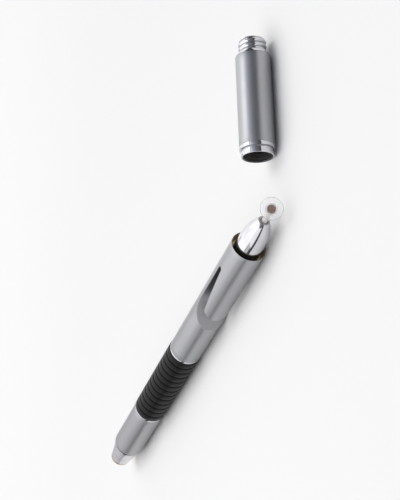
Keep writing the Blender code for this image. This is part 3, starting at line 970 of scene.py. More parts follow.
@dataclass(frozen=True)
class BrownContact(Finish):
    """Brown conductive pad, redder in the middle, with a fine fibre."""

    slot = Slot.BROWN
    colour: Colour = (0.235, 0.11, 0.07)
    middle: Colour = (0.28, 0.11, 0.055)
    core_radius: float = 0.1 * MM
    middle_radius: float = 0.6 * MM
    roughness: float = 0.5
    fibre_size: float = 0.06 * MM
    fibre_gloss: float = 0.2
    fibre_rise: float = 0.006 * MM
    blotch_size: float = 0.5 * MM

    def sockets(self, sheet: ShaderSheet, local: Wire) -> Sockets:
        """A blotchy red middle, and fibres in the gloss and surface.

        Args:
            sheet: The material's sheet.
            local: Place on the piece, in its seat's own axes.

        Returns:
            Values or wires by socket name.
        """
        _, radius = sheet.axis_parts(local)
        fibre = sheet.noise(local, self.fibre_size, 3.0)
        blotch = sheet.noise(local, self.blotch_size, 3.0)
        inward = 1 - sheet.ease(radius, self.core_radius, self.middle_radius)
        return {
            "Base Color": sheet.blend(inward * (0.3 + blotch), self.colour, self.middle),
            "Roughness": self.roughness + self.fibre_gloss * (fibre - 0.5),
            "Normal": sheet.bump(fibre, self.fibre_rise),
        }


@dataclass(frozen=True)
class TurnedMetal(Finish):
    """Bare turned metal with tool marks and a little tarnish."""

    slot: Slot = Slot.BRASS
    colour: Colour = (0.72, 0.53, 0.25)
    tarnish: Colour = (0.42, 0.27, 0.11)
    roughness: float = 0.28
    stain_size: float = 1.8 * MM
    stain_share: float = 0.6
    stain_gloss: float = 0.12
    mark_size: float = 0.09 * MM
    mark_gloss: float = 0.08
    mark_rise: float = 0.002 * MM

    def sockets(self, sheet: ShaderSheet, local: Wire) -> Sockets:
        """Stains in the colour and gloss, and tool marks.

        Args:
            sheet: The material's sheet.
            local: Place on the piece, in its seat's own axes.

        Returns:
            Values or wires by socket name.
        """
        along, _, _ = sheet.parts(local)
        marks = sheet.rings(along, self.mark_size)
        stain = sheet.noise(local, self.stain_size, 4.0)
        stained = self.stain_share * sheet.ease(stain, 0.45, 0.8)
        return {
            "Base Color": sheet.blend(stained, self.colour, self.tarnish),
            "Metallic": 1.0,
            "Roughness": self.roughness + self.stain_gloss * (stain - 0.5) + self.mark_gloss * marks,
            "Normal": sheet.bump(marks, self.mark_rise),
        }


@dataclass(frozen=True)
class MouldedPlastic(Finish):
    """Plain moulded plastic with a faint grain."""

    slot: Slot = Slot.MOULDED
    colour: Colour = (0.75, 0.75, 0.72)
    shade: Colour = (0.62, 0.61, 0.57)
    roughness: float = 0.45
    cloud_size: float = 2.2 * MM
    cloud_gloss: float = 0.15
    grain_size: float = 0.1 * MM
    grain_rise: float = 0.004 * MM

    def sockets(self, sheet: ShaderSheet, local: Wire) -> Sockets:
        """Clouds in the colour and gloss, and a faint grain.

        Args:
            sheet: The material's sheet.
            local: Place on the piece, in its seat's own axes.

        Returns:
            Values or wires by socket name.
        """
        cloud = sheet.noise(local, self.cloud_size, 3.0)
        grain = sheet.noise(local, self.grain_size)
        return {
            "Base Color": sheet.blend(sheet.ease(cloud, 0.35, 0.75), self.colour, self.shade),
            "Roughness": self.roughness + self.cloud_gloss * (cloud - 0.5),
            "Normal": sheet.bump(grain, self.grain_rise),
        }


BRASS = TurnedMetal()
STEEL = TurnedMetal(Slot.STEEL, (0.56, 0.56, 0.57), (0.36, 0.34, 0.32), 0.24)
PALE_STEEL = TurnedMetal(Slot.STEEL, (0.90, 0.86, 0.84), (0.78, 0.73, 0.70), 0.6)
INK = MouldedPlastic(Slot.INK, (0.10, 0.12, 0.30), (0.04, 0.05, 0.16), 0.3)
FROSTED = ClearPlastic(colour=(0.97, 0.93, 0.915), cover=0.32, roughness=0.3)
DULL_BLACK = GlossBlack((0.07, 0.065, 0.067), 0.35)


def dress(piece: bpy.types.Object, finish: Finish, seat: Seat) -> None:
    """Puts a finish on a piece, in place of what it had."""
    piece.data.materials.clear()
    piece.data.materials.append(finish.on(seat))


def hand_over(piece: bpy.types.Object, finish: Finish, seat: Seat, body: Body, node: str) -> None:
    """Gives a finished piece its finish and its body, and hides the solid that it takes the place of.

    Args:
        piece: The finished object.
        finish: Its finish.
        seat: The axis that it was made on.
        body: The body that it rides on.
        node: The solid that it takes the place of.
    """
    dress(piece, finish, seat)
    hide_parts(node)
    finish.slot.value
    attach(piece, body.value)
    log.info("%s: %d faces, on %s", piece.name, len(piece.data.polygons), body.value)


def joint_named(name: str) -> dict[str, Any]:
    """The frame's joint of that name."""
    return next(joint for joint in frame["joints"] if joint["name"] == name)


def pen_seat() -> Seat:
    """The pen's axis, from the mouth of the upper barrel."""
    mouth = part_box("upper_barrel")[1].x
    return Seat("pen", Vector((mouth, *joint_named("twist")["pos_m"][1:])), Vector((1, 0, 0)))


def disc_seat() -> Seat:
    """The disc's own axis, from the middle of the ball."""
    spin = joint_named("disc_spin")
    return Seat("disc", Vector(spin["pos_m"]), Vector(spin["axis"]))


def along_pen(node: str) -> Point:
    """Where a solid lies along the pen.

    Args:
        node: The solid.

    Returns:
        Its end towards the writing tip and its end towards the disc, from the barrel's mouth.
    """
    low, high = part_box(node)
    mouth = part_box("upper_barrel")[1].x
    return low.x - mouth, high.x - mouth


@dataclass(frozen=True)
class CoilSpring:
    """A coil spring whose moving end is its end nearer the mouth."""

    name: str
    node: str
    body: Body
    joint: str
    radius: float
    wire: float
    curls: int

    def build(self, seat: Seat) -> None:
        """Winds the spring.

        Args:
            seat: The pen's axis.
        """
        start, end = along_pen(self.node)
        ends = (start + self.wire, end - self.wire)
        spring = Blank.coil(self.name, ends, self.radius, self.wire, self.curls).done(seat)
        hand_over(spring, STEEL, seat, self.body, self.node)
        keep = 1 - max(joint_named(self.joint)["range_m"]) / (end - start)
        anchor = tuple(seat.origin + Vector((end, 0, 0)))
        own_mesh(spring)


@dataclass
class UpperSection:
    """Upper barrel with the clip cut from it, and the nose and thread in its mouth."""

    seat: Seat
    radius: float = 4.75 * MM
    mouth_radius: float = 4.37 * MM
    mouth_depth: float = 2.5 * MM
    mouth_chamfer: float = 0.32 * MM
    chamfer_depth: float = 1.0 * MM
    lip_skin: float = 0.06 * MM
    shank_radius: float = 2.98 * MM
    sleeve_bore: float = 2.75 * MM
    sleeve_depth: float = 12.0 * MM
    barrel_steps: int = 32
    fit: float = 0.05 * MM
    edge: float = 0.1 * MM
    slot_start: float = 8.8 * MM
    root_gap: float = 1.25 * MM
    root_round: float = 0.45
    tip_gap: float = 3.0 * MM
    tip_round: float = 0.35 * MM
    clip_reach: float = 25.5 * MM
    clip_tip_angle: float = math.radians(40)
    floor_end: float = 27.0 * MM
    ramp_angle: float = math.radians(41)
    ramp_round: float = 3.0 * MM
    cutter_margin: float = 1.0 * MM
    collar_radius: float = 3.71 * MM
    collar_thread: float = 0.08 * MM
    collar_pitch: float = 0.8 * MM
    collar_steps: int = 48
    nose_tip: float = 1.55 * MM
    nose_fullness: float = 2.9
    nose_end_slope: float = math.radians(58)
    nose_steps: int = 40
    nose_edge: float = 0.03 * MM
    lip_round: float = 0.2 * MM
    lip_steps: int = 8
    bush_radius: float = 1.32 * MM
    bush_groove: float = 0.12 * MM
    bush_flare: float = 0.12 * MM
    # set-back and margin of the painted shade in the groove at the nose's tip
    shade_setback: float = 0.04 * MM
    shade_margin: float = 0.02 * MM
    chamber: float = 2.13 * MM
    guide: float = 1.05 * MM
    guide_length: float = 4.2 * MM
    plug_edge: float = 0.15 * MM

    def build(self) -> None:
        """Makes the section's pieces."""
        satin = SatinAluminium(
            skin_radius=self.radius,
            bore_radius=self.mouth_radius + self.mouth_chamfer - self.lip_skin,
            bore_floor=-self.mouth_depth - self.fit,
        )
        reach = along_pen("stylus_nose")[1]
        chrome = PolishedChrome(
            # painted shade in the groove round the stem at the nose's tip
            shade_from=reach - 2 * self.bush_groove,
            shade_to=reach - self.shade_setback,
            shade_radius=self.bush_radius + self.bush_groove + self.shade_margin,
        )
        hand_over(self.barrel(), satin, self.seat, Body.UPPER, "upper_barrel")
        hand_over(self.collar(), GlossBlack(), self.seat, Body.UPPER, "thread_collar")
        hand_over(self.nose(), chrome, self.seat, Body.UPPER, "stylus_nose")
        hand_over(self.plug(), BRASS, self.seat, Body.UPPER, "spring_plug")

    def barrel(self) -> bpy.types.Object:
        """Models the bored barrel, with the clip left by a through cut.

        Returns:
            The finished object.
        """
        back, _ = along_pen("upper_barrel")
        floor = along_pen("stylus_nose")[0] - self.fit
        seat = self.shank_radius + self.fit
        sleeve_floor = back + self.sleeve_depth
        outline = [
            (floor, 0.0),
            (floor, seat),
            (-self.mouth_depth, seat),
            (-self.mouth_depth, self.mouth_radius),
            (-self.chamfer_depth, self.mouth_radius),
            (0.0, self.mouth_radius + self.mouth_chamfer),
        ]
        outline += stretch((0.0, self.radius), (back, self.radius), self.barrel_steps)
        outline += [(back, self.sleeve_bore), (sleeve_floor, self.sleeve_bore), (sleeve_floor, 0.0)]
        blank = Blank.turned("barrel_with_clip", outline, Sides.BARREL).round_edges(self.edge)
        return blank.cut(self.clip_slot()).done(self.seat)

    def clip_slot(self) -> Blank:
        """Models the cut that leaves the clip: a narrow root, a sloping underside and a ramp out.

        Returns:
            The cutter.
        """
        outside = self.radius + self.cutter_margin
        ramp_out = -self.floor_end - outside / math.tan(self.ramp_angle)
        tip_out = -self.clip_reach - (outside - self.tip_gap) / math.tan(self.clip_tip_angle)
        corners = [
            (-self.slot_start, 0.0),
            (-self.floor_end, 0.0),
            (ramp_out, -outside),
            (tip_out, -outside),
            (-self.clip_reach, -self.tip_gap),
            (-self.slot_start, -self.root_gap),
        ]
        root = self.root_round * self.root_gap
        rounds = {0: root, 1: self.ramp_round, 4: self.tip_round, 5: root}
        return Blank.prism("clip_slot", corners, rounds, outside)

    def collar(self) -> bpy.types.Object:
        """Models the threaded collar between the barrel's mouth and the nose.

        Returns:
            The finished object.
        """
        start, end = along_pen("thread_collar")
        root = self.collar_radius - self.collar_thread
        inner = self.shank_radius + self.fit
        outline = [(start, inner), *stretch((start, root), (end, root), self.collar_steps), (end, inner)]
        thread = Thread(start, end, self.collar_pitch, self.collar_thread, root)
        return Blank.turned("threaded_collar", outline, Sides.BARREL).thread(thread).done(self.seat)

    def nose(self) -> bpy.types.Object:
        """Models the bullet-shaped nose, with its shank and the chamber for the cushion spring.

        Returns:
            The finished object.
        """
        back, reach = along_pen("stylus_nose")
        foot = along_pen("thread_collar")[1] + self.fit
        outline = [(back, self.chamber), (back, self.shank_radius), (foot, self.shank_radius)]
        lip = self.lip_round
        last = 1 - lip * (1 - math.cos(self.nose_end_slope)) / (reach - foot)
        for share in (last * step / self.nose_steps for step in range(self.nose_steps + 1)):
            fall = (self.collar_radius - self.nose_tip) * share**self.nose_fullness
            outline.append((foot + (reach - foot) * share, self.collar_radius - fall))
        lip_centre = (reach - lip, outline[-1][1] - lip * math.sin(self.nose_end_slope))
        outline += arc(lip_centre, lip, self.nose_end_slope, 0.0, self.lip_steps)[1:]
        chamber_end = reach - self.guide_length
        groove = self.bush_radius + self.bush_groove
        groove_floor = reach - self.bush_groove
        outline += [
            (reach, groove),
            (groove_floor, groove),
            (groove_floor, self.bush_radius),
            (reach, self.bush_radius),
            (reach, self.guide + self.bush_flare),
            (reach - self.bush_flare, self.guide),
            (chamber_end, self.guide),
            (chamber_end, self.chamber),
        ]
        blank = Blank.turned("bullet_nose", outline, Sides.BARREL)
        return blank.round_edges(self.nose_edge).done(self.seat)

    def plug(self) -> bpy.types.Object:
        """Models the plug that closes the spring's chamber.

        Returns:
            The finished object.
        """
        start, end = along_pen("spring_plug")
        blank = Blank.turned("chamber_plug", ring_outline(start, end, self.chamber - self.fit), Sides.INNER)
        return blank.round_edges(self.plug_edge).done(self.seat)


@dataclass
class TiltingTip:
    """Sliding stem, ball, clear hub, brown pad and clear disc."""

    pen: Seat
    disc: Seat
    stem_radius: float = 0.95 * MM
    slim_radius: float = 0.79 * MM
    slim_length: float = 3.9 * MM
    neck_radius: float = 0.42 * MM
    neck_length: float = 0.7 * MM
    flange_radius: float = 2.03 * MM
    flange_width: float = 1.0 * MM
    tail_length: float = 3.5 * MM
    ball_radius: float = 0.95 * MM
    ball_steps: int = 24
    run: float = 0.1 * MM
    fit: float = 0.05 * MM
    hub_wall: float = 0.45 * MM
    hub_lip: float = 0.3 * MM
    hub_face: float = 0.15 * MM
    hub_steps: int = 16
    pad_radius: float = 1.12 * MM
    pad_thickness: float = 0.25 * MM
    disc_radius: float = 3.0 * MM
    disc_thickness: float = 0.45 * MM
    rim_inset: float = 0.04 * MM
    boss_wall: float = 0.4 * MM
    boss_gap: float = 0.02 * MM
    boss_edge: float = 0.05 * MM
    small_edge: float = 0.06 * MM
    clear_edge: float = 0.08 * MM
    spring: CoilSpring = CoilSpring(
        "cushion_spring", "stem_spring", Body.STEM, "stem_push", 1.3 * MM, 0.2 * MM, 8
    )

    def build(self) -> None:
        """Makes the tip's pieces."""
        clear = ClearPlastic(rim_radius=self.disc_radius - self.rim_inset)
        hand_over(self.stem(), MilkyPlastic(), self.pen, Body.STEM, "stylus_stem")
        self.spring.build(self.pen)
        hand_over(self.ball(), PALE_STEEL, self.disc, Body.BALL, "tip_ball")
        hand_over(self.hub(), FROSTED, self.disc, Body.HUB, "disc_hub")
        hand_over(self.pad(), BrownContact(), self.disc, Body.DISC, "contact_pad")
        hand_over(self.boss(), FROSTED, self.disc, Body.DISC, "tip_disc")
        hand_over(self.plate(), clear, self.disc, Body.DISC, "tip_disc")

    def stem(self) -> bpy.types.Object:
        """Models the stem that slides in the nose and carries the ball.

        Returns:
            The finished object.
        """
        tail, end = along_pen("stylus_stem")
        flange_back = tail + self.tail_length
        flange_front = flange_back + self.flange_width
        outline = [
            (tail, 0.0),
            (tail, self.stem_radius),
            (flange_back, self.stem_radius),
            (flange_back, self.flange_radius),
            (flange_front, self.flange_radius),
            (flange_front, self.stem_radius),
            (end - self.slim_length, self.stem_radius),
            (end - self.slim_length, self.slim_radius),
            (end - self.neck_length, self.slim_radius),
            (end, self.neck_radius),
            (end, 0.0),
        ]
        return Blank.turned("sliding_stem", outline, Sides.TIP).round_edges(self.small_edge).done(self.pen)

    def ball(self) -> bpy.types.Object:
        """Models the ball that the hub turns on."""
        outline = ball_outline(0.0, self.ball_radius, self.ball_steps)
        return Blank.turned("swivel_ball", outline, Sides.INNER).done(self.disc)

    def hub(self) -> bpy.types.Object:
        """Models the clear socket round the ball.

        Returns:
            The finished object.
        """
        socket = self.ball_radius + self.run
        front = socket + self.hub_face
        side = socket + self.hub_wall
        outline = [(front, 0.0), (front, side), (-self.hub_lip, side)]
        outline += arc((0.0, 0.0), socket, math.acos(-self.hub_lip / socket), 0.0, self.hub_steps)[:-1]
        outline.append((socket, 0.0))
        return Blank.turned("clear_hub", outline, Sides.TIP).round_edges(self.clear_edge).done(self.disc)

    def pad_back(self) -> float:
        """Where the pad starts along the disc's axis."""
        return self.ball_radius + self.run + self.hub_face + self.fit

    def plate_back(self) -> float:
        """Where the disc starts along its axis, in front of the pad."""
        return self.pad_back() + self.pad_thickness + self.fit

    def pad(self) -> bpy.types.Object:
        """Models the brown contact pad behind the disc.

        Returns:
            The finished object.
        """
        back = self.pad_back()
        outline = ring_outline(back, back + self.pad_thickness, self.pad_radius)
        return Blank.turned("brown_pad", outline, Sides.TIP).round_edges(self.small_edge).done(self.disc)

    def boss(self) -> bpy.types.Object:
        """Models the ring behind the disc that holds the pad.

        Returns:
            The finished object.
        """
        inner = self.pad_radius + self.fit
        front = self.plate_back() - self.boss_gap
        outline = ring_outline(self.pad_back(), front, inner + self.boss_wall, inner)
        return Blank.turned("pad_ring", outline, Sides.TIP).round_edges(self.boss_edge).done(self.disc)

    def plate(self) -> bpy.types.Object:
        """Models the clear disc.

        Returns:
            The finished object.
        """
        back = self.plate_back()
        outline = ring_outline(back, back + self.disc_thickness, self.disc_radius)
        blank = Blank.turned("clear_disc", outline, Sides.BARREL)
        return blank.round_edges(self.clear_edge).done(self.disc)


@dataclass
class LowerSection:
    """Two thin rings with the ribbed grip between them, lower barrel and writing nose."""

    seat: Seat
    radius: float = 4.75 * MM
    grip_radius: float = 4.9 * MM
    core_radius: float = 3.9 * MM
    core_bore: float = 2.8 * MM
    tail_bore: float = 3.45 * MM
    wide_bore: float = 3.15 * MM
    barrel_steps: int = 12
    fit: float = 0.05 * MM
    edge: float = 0.1 * MM
    ring_edge: float = 0.08 * MM
    ribs: int = 13
    groove_width: float = 0.65 * MM
    groove_depth: float = 0.4 * MM
    step_reach: float = 14.8 * MM
    nose_shank: float = 5.0 * MM
    nose_shoulder: float = 4.45 * MM
    nose_gap: float = 0.7 * MM
    nose_taper: float = math.radians(7.5)
    nose_end: float = 2.9 * MM
    nose_round: float = 0.5 * MM
    nose_bore: float = 1.815 * MM
    nose_steps: int = 10
    nose_round_steps: int = 8
    nose_edge: float = 0.06 * MM
    nose_roughness: float = 0.15
    # where the painted brown reflection lies on the rounded end
    reflection_start: float = 1.2 * MM
    reflection_end: float = 0.6 * MM
    reflection_margin: float = 0.15 * MM
    # margin of the painted shade in the gap behind the nose's shoulder
    shade_margin: float = 0.08 * MM
    tip_hole: float = 1.275 * MM
    spring_seat: float = 5.3 * MM

    def build(self) -> None:
        """Makes the section's pieces."""
        for name, node in (("upper_trim_ring", "centre_ring"), ("lower_trim_ring", "lower_ring")):
            hand_over(self.ring(name, node), PolishedChrome(), self.seat, Body.LOWER, node)
        groove = self.grip_radius - self.groove_depth
        rubber = MouldedRubber(groove_radius=groove, crest_radius=self.grip_radius)
        hand_over(self.grip(), rubber, self.seat, Body.LOWER, "grip_sleeve")
        hand_over(self.barrel(), SatinAluminium(), self.seat, Body.LOWER, "lower_barrel")
        end, back = along_pen("pen_nose")
        chrome = PolishedChrome(
            # painted brown reflection round the rounded end
            reflection_from=end + self.reflection_start,
            reflection_to=end + self.reflection_end,
            reflection_radius=self.nose_end + self.reflection_margin,
            # painted shade on the neck in the gap behind the nose's shoulder
            shade_from=back - self.nose_shank - self.nose_gap,
            shade_to=back,
            shade_radius=self.nose_shoulder - self.shade_margin,
            roughness=self.nose_roughness,
        )
        hand_over(self.nose(), chrome, self.seat, Body.LOWER, "pen_nose")

    def ring(self, name: str, node: str) -> bpy.types.Object:
        """Models a thin bright ring at one end of the grip.

        Args:
            name: Name of the ring.
            node: The solid that it takes the place of.

        Returns:
            The finished object.
        """
        start, end = along_pen(node)
        outline = ring_outline(start, end, self.radius, self.core_radius + self.fit)
        return Blank.turned(name, outline, Sides.BARREL).round_edges(self.ring_edge).done(self.seat)

    def grip(self) -> bpy.types.Object:
        """Models the rubber sleeve with its grooves.

        Returns:
            The finished object.
        """
        start, end = along_pen("grip_sleeve")
        inner = self.core_radius + self.fit
        pitch = (end - start) / self.ribs
        root = self.grip_radius - self.groove_depth
        half = self.groove_width / 2
        outline = [(start, inner), (start, self.radius)]
        for rib in range(self.ribs):
            x = start + rib * pitch
            if rib:
                outline.append((x, root))
            outline += [(x + half, self.grip_radius), (x + pitch - half, self.grip_radius)]
        outline += [(end, self.radius), (end, inner)]
        return Blank.turned("ribbed_grip", outline, Sides.BARREL).round_edges(self.edge).done(self.seat)

    def barrel(self) -> bpy.types.Object:
        """Models the tail tube with the core that carries the grip.

        Returns:
            The finished object.
        """
        tail, front = along_pen("lower_barrel")
        shoulder = along_pen("lower_ring")[0] - self.fit
        thread_start = tail + self.nose_shank + self.fit
        step = front - self.step_reach
        outline = [(front, self.core_bore), (front, self.core_radius), (shoulder, self.core_radius)]
        outline += stretch((shoulder, self.radius), (tail, self.radius), self.barrel_steps)
        outline += [(tail, self.tail_bore), (thread_start, self.tail_bore)]
        outline += [(thread_start, self.wide_bore), (step, self.wide_bore), (step, self.core_bore)]
        return Blank.turned("tail_barrel", outline, Sides.BARREL).round_edges(self.edge).done(self.seat)

    def nose(self) -> bpy.types.Object:
        """Models the tapered writing nose.

        Returns:
            The finished object.
        """
        end, back = along_pen("pen_nose")
        front = back - self.nose_shank
        rounded_x = end + self.nose_round
        rounded = self.nose_shoulder - (front - rounded_x) * math.tan(self.nose_taper)
        shank = self.tail_bore - self.fit
        seat = end + self.spring_seat
        shoulder = front - self.nose_gap
        outline = [(back, self.nose_bore), (back, shank), (shoulder, shank)]
        outline += stretch((shoulder, self.nose_shoulder), (rounded_x, rounded), self.nose_steps)
        for step in range(1, self.nose_round_steps + 1):
            turn = math.pi / 2 * step / self.nose_round_steps
            radius = self.nose_end + (rounded - self.nose_end) * math.cos(turn)
            outline.append((rounded_x - self.nose_round * math.sin(turn), radius))
        outline += [(end, self.tip_hole), (seat, self.tip_hole), (seat, self.nose_bore)]
        blank = Blank.turned("writing_nose", outline, Sides.BARREL)
        return blank.round_edges(self.nose_edge).done(self.seat)


@dataclass
class Cap:
    """Cap tube, mouth collar with its spigot, threaded lining and end plug with its stub."""

    radius: float = 4.75 * MM
    tube_length: float = 25.3 * MM
    tube_steps: int = 12
    wall: float = 0.6 * MM
    spigot_radius: float = 4.32 * MM
    spigot_length: float = 1.5 * MM
    groove_width: float = 0.35 * MM
    groove_depth: float = 0.2 * MM
    # painted shade in the groove between spigot and flange
    groove_shade: Colour = (0.55, 0.55, 0.56)
    flange_width: float = 1.0 * MM
    lining_radius: float = 3.99 * MM
    lining_wall: float = 0.18 * MM
    lining_length: float = 5.5 * MM
    lining_setback: float = 0.25 * MM
    lining_thread: float = 0.08 * MM
    lining_pitch: float = 1.1 * MM
    lining_steps: int = 72
    insert_length: float = 3.0 * MM
    chamfer: float = 0.85 * MM
    shoulder_length: float = 1.3 * MM
    stub_radius: float = 3.78 * MM
    stub_length: float = 4.0 * MM
    stub_thread: float = 0.3 * MM
    stub_turns: int = 3
    stub_steps: int = 60
    # painted shade in the roots of the stub's thread, kept off its end
    root_shade: Colour = (0.3, 0.3, 0.305)
    root_share: float = 0.2
    unshaded_end: float = 0.2 * MM
    fit: float = 0.05 * MM
    edge: float = 0.1 * MM
    bright_edge: float = 0.08 * MM
    seat: Seat = field(init=False)

    def __post_init__(self) -> None:
        """Finds the cap's axis from the mount on the end of its stub."""
        mount = next(m for m in frame["record"]["mounts"] if m["name"] == "cap_stub_face")
        axis = Vector(mount["axis"])
        self.seat = Seat("cap", Vector(mount["pos_m"]) - axis * self.stub_end(), axis)

    def tube_start(self) -> float:
        """Where the tube starts, behind the flange."""
        return self.spigot_length + self.groove_width + self.flange_width + self.fit

    def tube_end(self) -> float:
        """Where the tube ends, at the plug's shoulder."""
        return self.tube_start() + self.tube_length

    def stub_end(self) -> float:
        """The cap's whole length, to the stub's flat end."""
        return self.tube_end() + self.fit + self.chamfer + self.stub_length

    def insert_radius(self) -> float:
        """Radius of the stretches of collar and plug that sit in the tube."""
        return self.radius - self.wall - self.fit

    def build(self) -> None:
        """Makes the cap's pieces."""
        # painted shade in the groove between spigot and flange
        grooved = PolishedChrome(
            painted_shade=self.groove_shade,
            shade_from=self.spigot_length,
            shade_to=self.spigot_length + self.groove_width,
            shade_radius=self.spigot_radius,
        )
        # painted shade in the roots of the stub's thread
        threaded = PolishedChrome(
            painted_shade=self.root_shade,
            shade_from=self.tube_end() + self.shoulder_length,
            shade_to=self.stub_end() - self.unshaded_end,
            shade_radius=self.stub_radius - (1 - self.root_share) * self.stub_thread,
        )
        hand_over(self.tube(), SatinAluminium(), self.seat, Body.CAP, "cap_tube")
        hand_over(self.collar(), grooved, self.seat, Body.CAP, "cap_collar")
        hand_over(self.lining(), DULL_BLACK, self.seat, Body.CAP, "cap_thread_liner")
        hand_over(self.plug(), threaded, self.seat, Body.CAP, "cap_end_plug")

    def tube(self) -> bpy.types.Object:
        """Models the satin tube.

        Returns:
            The finished object.
        """
        start, end = self.tube_start(), self.tube_end()
        bore = self.radius - self.wall
        outside = stretch((start, self.radius), (end, self.radius), self.tube_steps)
        blank = Blank.turned("satin_cap_tube", [(start, bore), *outside, (end, bore)], Sides.BARREL)
        return blank.round_edges(self.edge).done(self.seat)

    def collar(self) -> bpy.types.Object:
        """Models the bright flange and spigot at the mouth.

        Returns:
            The finished object.
        """
        lining = self.lining_radius + self.fit
        insert = self.insert_radius()
        flange = self.spigot_length + self.groove_width
        groove = self.spigot_radius - self.groove_depth
        flange_back = self.tube_start() - self.fit
        insert_end = self.tube_start() + self.insert_length
        outline = [
            (0.0, lining),
            (0.0, self.spigot_radius),
            (self.spigot_length, self.spigot_radius),
            (self.spigot_length, groove),
            (flange, groove),
            (flange, self.radius),
            (flange_back, self.radius),
            (flange_back, insert),
            (insert_end, insert),
            (insert_end, lining),
        ]
        blank = Blank.turned("bright_mouth_collar", outline, Sides.BARREL)
        return blank.round_edges(self.bright_edge).done(self.seat)

    def lining(self) -> bpy.types.Object:
        """Models the black threaded lining.

        Returns:
            The finished object.
        """
        start = self.lining_setback
        end = start + self.lining_length
        crest = self.lining_radius - self.lining_wall
        outline = stretch((start, crest), (end, crest), self.lining_steps)
        outline += [(end, self.lining_radius), (start, self.lining_radius)]
        thread = Thread(start, end, self.lining_pitch, self.lining_thread, crest)
        return Blank.turned("threaded_lining", outline, Sides.BARREL).thread(thread).done(self.seat)

    def plug(self) -> bpy.types.Object:
        """Models the bright plug with its shoulder and threaded stub.

        Returns:
            The finished object.
        """
        insert = self.insert_radius()
        inside = self.tube_end() - self.insert_length
        shoulder = self.tube_end() + self.fit
        stub = shoulder + self.shoulder_length
        end = self.stub_end()
        root = self.stub_radius - self.stub_thread
        outline = [
            (inside, 0.0),
            (inside, insert),
            (shoulder, insert),
            (shoulder, self.radius),
            (stub, self.radius - self.chamfer),
        ]
        outline += [*stretch((stub, root), (end, root), self.stub_steps), (end, 0.0)]
        thread = Thread(stub, end, self.stub_length / self.stub_turns, self.stub_thread, root)
        blank = Blank.turned("threaded_end_plug", outline, Sides.BARREL)
        return blank.thread(thread).round_edges(self.bright_edge).done(self.seat)


@dataclass
class Refill:
    """Ink tube with its brass tip, writing ball and return spring."""

    seat: Seat
    radius: float = 1.175 * MM
    wall: float = 0.3 * MM
    fit: float = 0.05 * MM
    tip_length: float = 13.2 * MM
    tip_edge: float = 0.03 * MM
    nib_radius: float = 0.5 * MM
    nib_length: float = 1.4 * MM
    nib_foot: float = 0.7 * MM
    cone_foot: float = 0.76 * MM
    cone_length: float = 3.5 * MM
    shoulder_radius: float = 1.665 * MM
    shoulder_width: float = 0.8 * MM
    ball_radius: float = 0.36 * MM
    ball_steps: int = 16
    tube_edge: float = 0.06 * MM
    spring: CoilSpring = CoilSpring(
        "return_spring", "refill_spring", Body.REFILL, "refill_slide", 1.495 * MM, 0.17 * MM, 6
    )

    def build(self) -> None:
        """Makes the refill's pieces."""
        hand_over(self.tip(), BRASS, self.seat, Body.REFILL, "refill_tip")
        hand_over(self.ball(), STEEL, self.seat, Body.REFILL, "writing_ball")
        hand_over(self.tube(), INK, self.seat, Body.REFILL, "refill_tube")
        self.spring.build(self.seat)

    def ball_middle(self) -> float:
        """The middle of the writing ball along the pen."""
        start, end = along_pen("writing_ball")
        return (start + end) / 2

    def tip(self) -> bpy.types.Object:
        """Models the stepped cone with the ball's cup, and the plug that holds the tube.

        Returns:
            The finished object.
        """
        front, end = along_pen("refill_tip")
        back = front + self.tip_length
        shoulder = back - self.shoulder_width
        cup = self.ball_radius + self.fit
        cup_floor = self.ball_middle() + cup
        plug = self.radius - self.wall - self.fit
        outline = [
            (cup_floor, 0.0),
            (cup_floor, cup),
            (front, cup),
            (front, self.nib_radius),
            (front + self.nib_length, self.nib_foot),
            (front + self.nib_length, self.cone_foot),
            (front + self.cone_length, self.radius),
            (shoulder, self.radius),
            (shoulder, self.shoulder_radius),
            (back, self.shoulder_radius),
            (back, plug),
            (end, plug),
            (end, 0.0),
        ]
        blank = Blank.turned("brass_writing_tip", outline, Sides.INNER)
        return blank.round_edges(self.tip_edge).done(self.seat)

    def ball(self) -> bpy.types.Object:
        """Models the writing ball."""
        outline = ball_outline(self.ball_middle(), self.ball_radius, self.ball_steps)
        return Blank.turned("steel_writing_ball", outline, Sides.INNER).done(self.seat)

    def tube(self) -> bpy.types.Object:
        """Models the ink tube.

        Returns:
            The finished object.
        """
        start, end = along_pen("refill_tube")
        outline = ring_outline(start, end, self.radius, self.radius - self.wall)
        return Blank.turned("ink_tube", outline, Sides.INNER).round_edges(self.tube_edge).done(self.seat)


@dataclass
class InnerWorks:
    """Pieces of the twist action, which keep their solids and get finishes."""

    seat: Seat
    finishes: dict[str, Finish] = field(
        default_factory=lambda: {
            "cam_sleeve": BRASS,
            "retaining_clip": STEEL,
            "cam_follower": MouldedPlastic(),
            "drive_pin": STEEL,
        }
    )

    def build(self) -> None:
        """Dresses the solids."""
        for node, finish in self.finishes.items():
            dress(frame["nodes"][node], finish, self.seat)
            log.info("%s: dressed as it is", node)


@dataclass(frozen=True)
class Softbox:
    """A rectangular lamp with an even face. Its height runs up a wall, or along y."""

    name: str
    facing: Facing
    place: tuple[float, float, float]
    width: float
    height: float
    radiance: float
    tint: Colour = (1.0, 1.0, 1.0)

    def hang(self) -> None:
        """Adds the lamp, out of the camera's sight."""
        lamp = bpy.data.lights.new(self.name, "AREA")
        lamp.shape = "RECTANGLE"
        lamp.size = self.width
        lamp.size_y = self.height
        lamp.energy = self.radiance * math.pi * self.width * self.height
        lamp.color = self.tint
        holder = bpy.data.objects.new(self.name, lamp)
        bpy.context.scene.collection.objects.link(holder)
        holder.location = self.place
        holder.rotation_euler = Vector(self.facing.value).to_track_quat("-Z", "Y").to_euler()
        holder.visible_camera = False


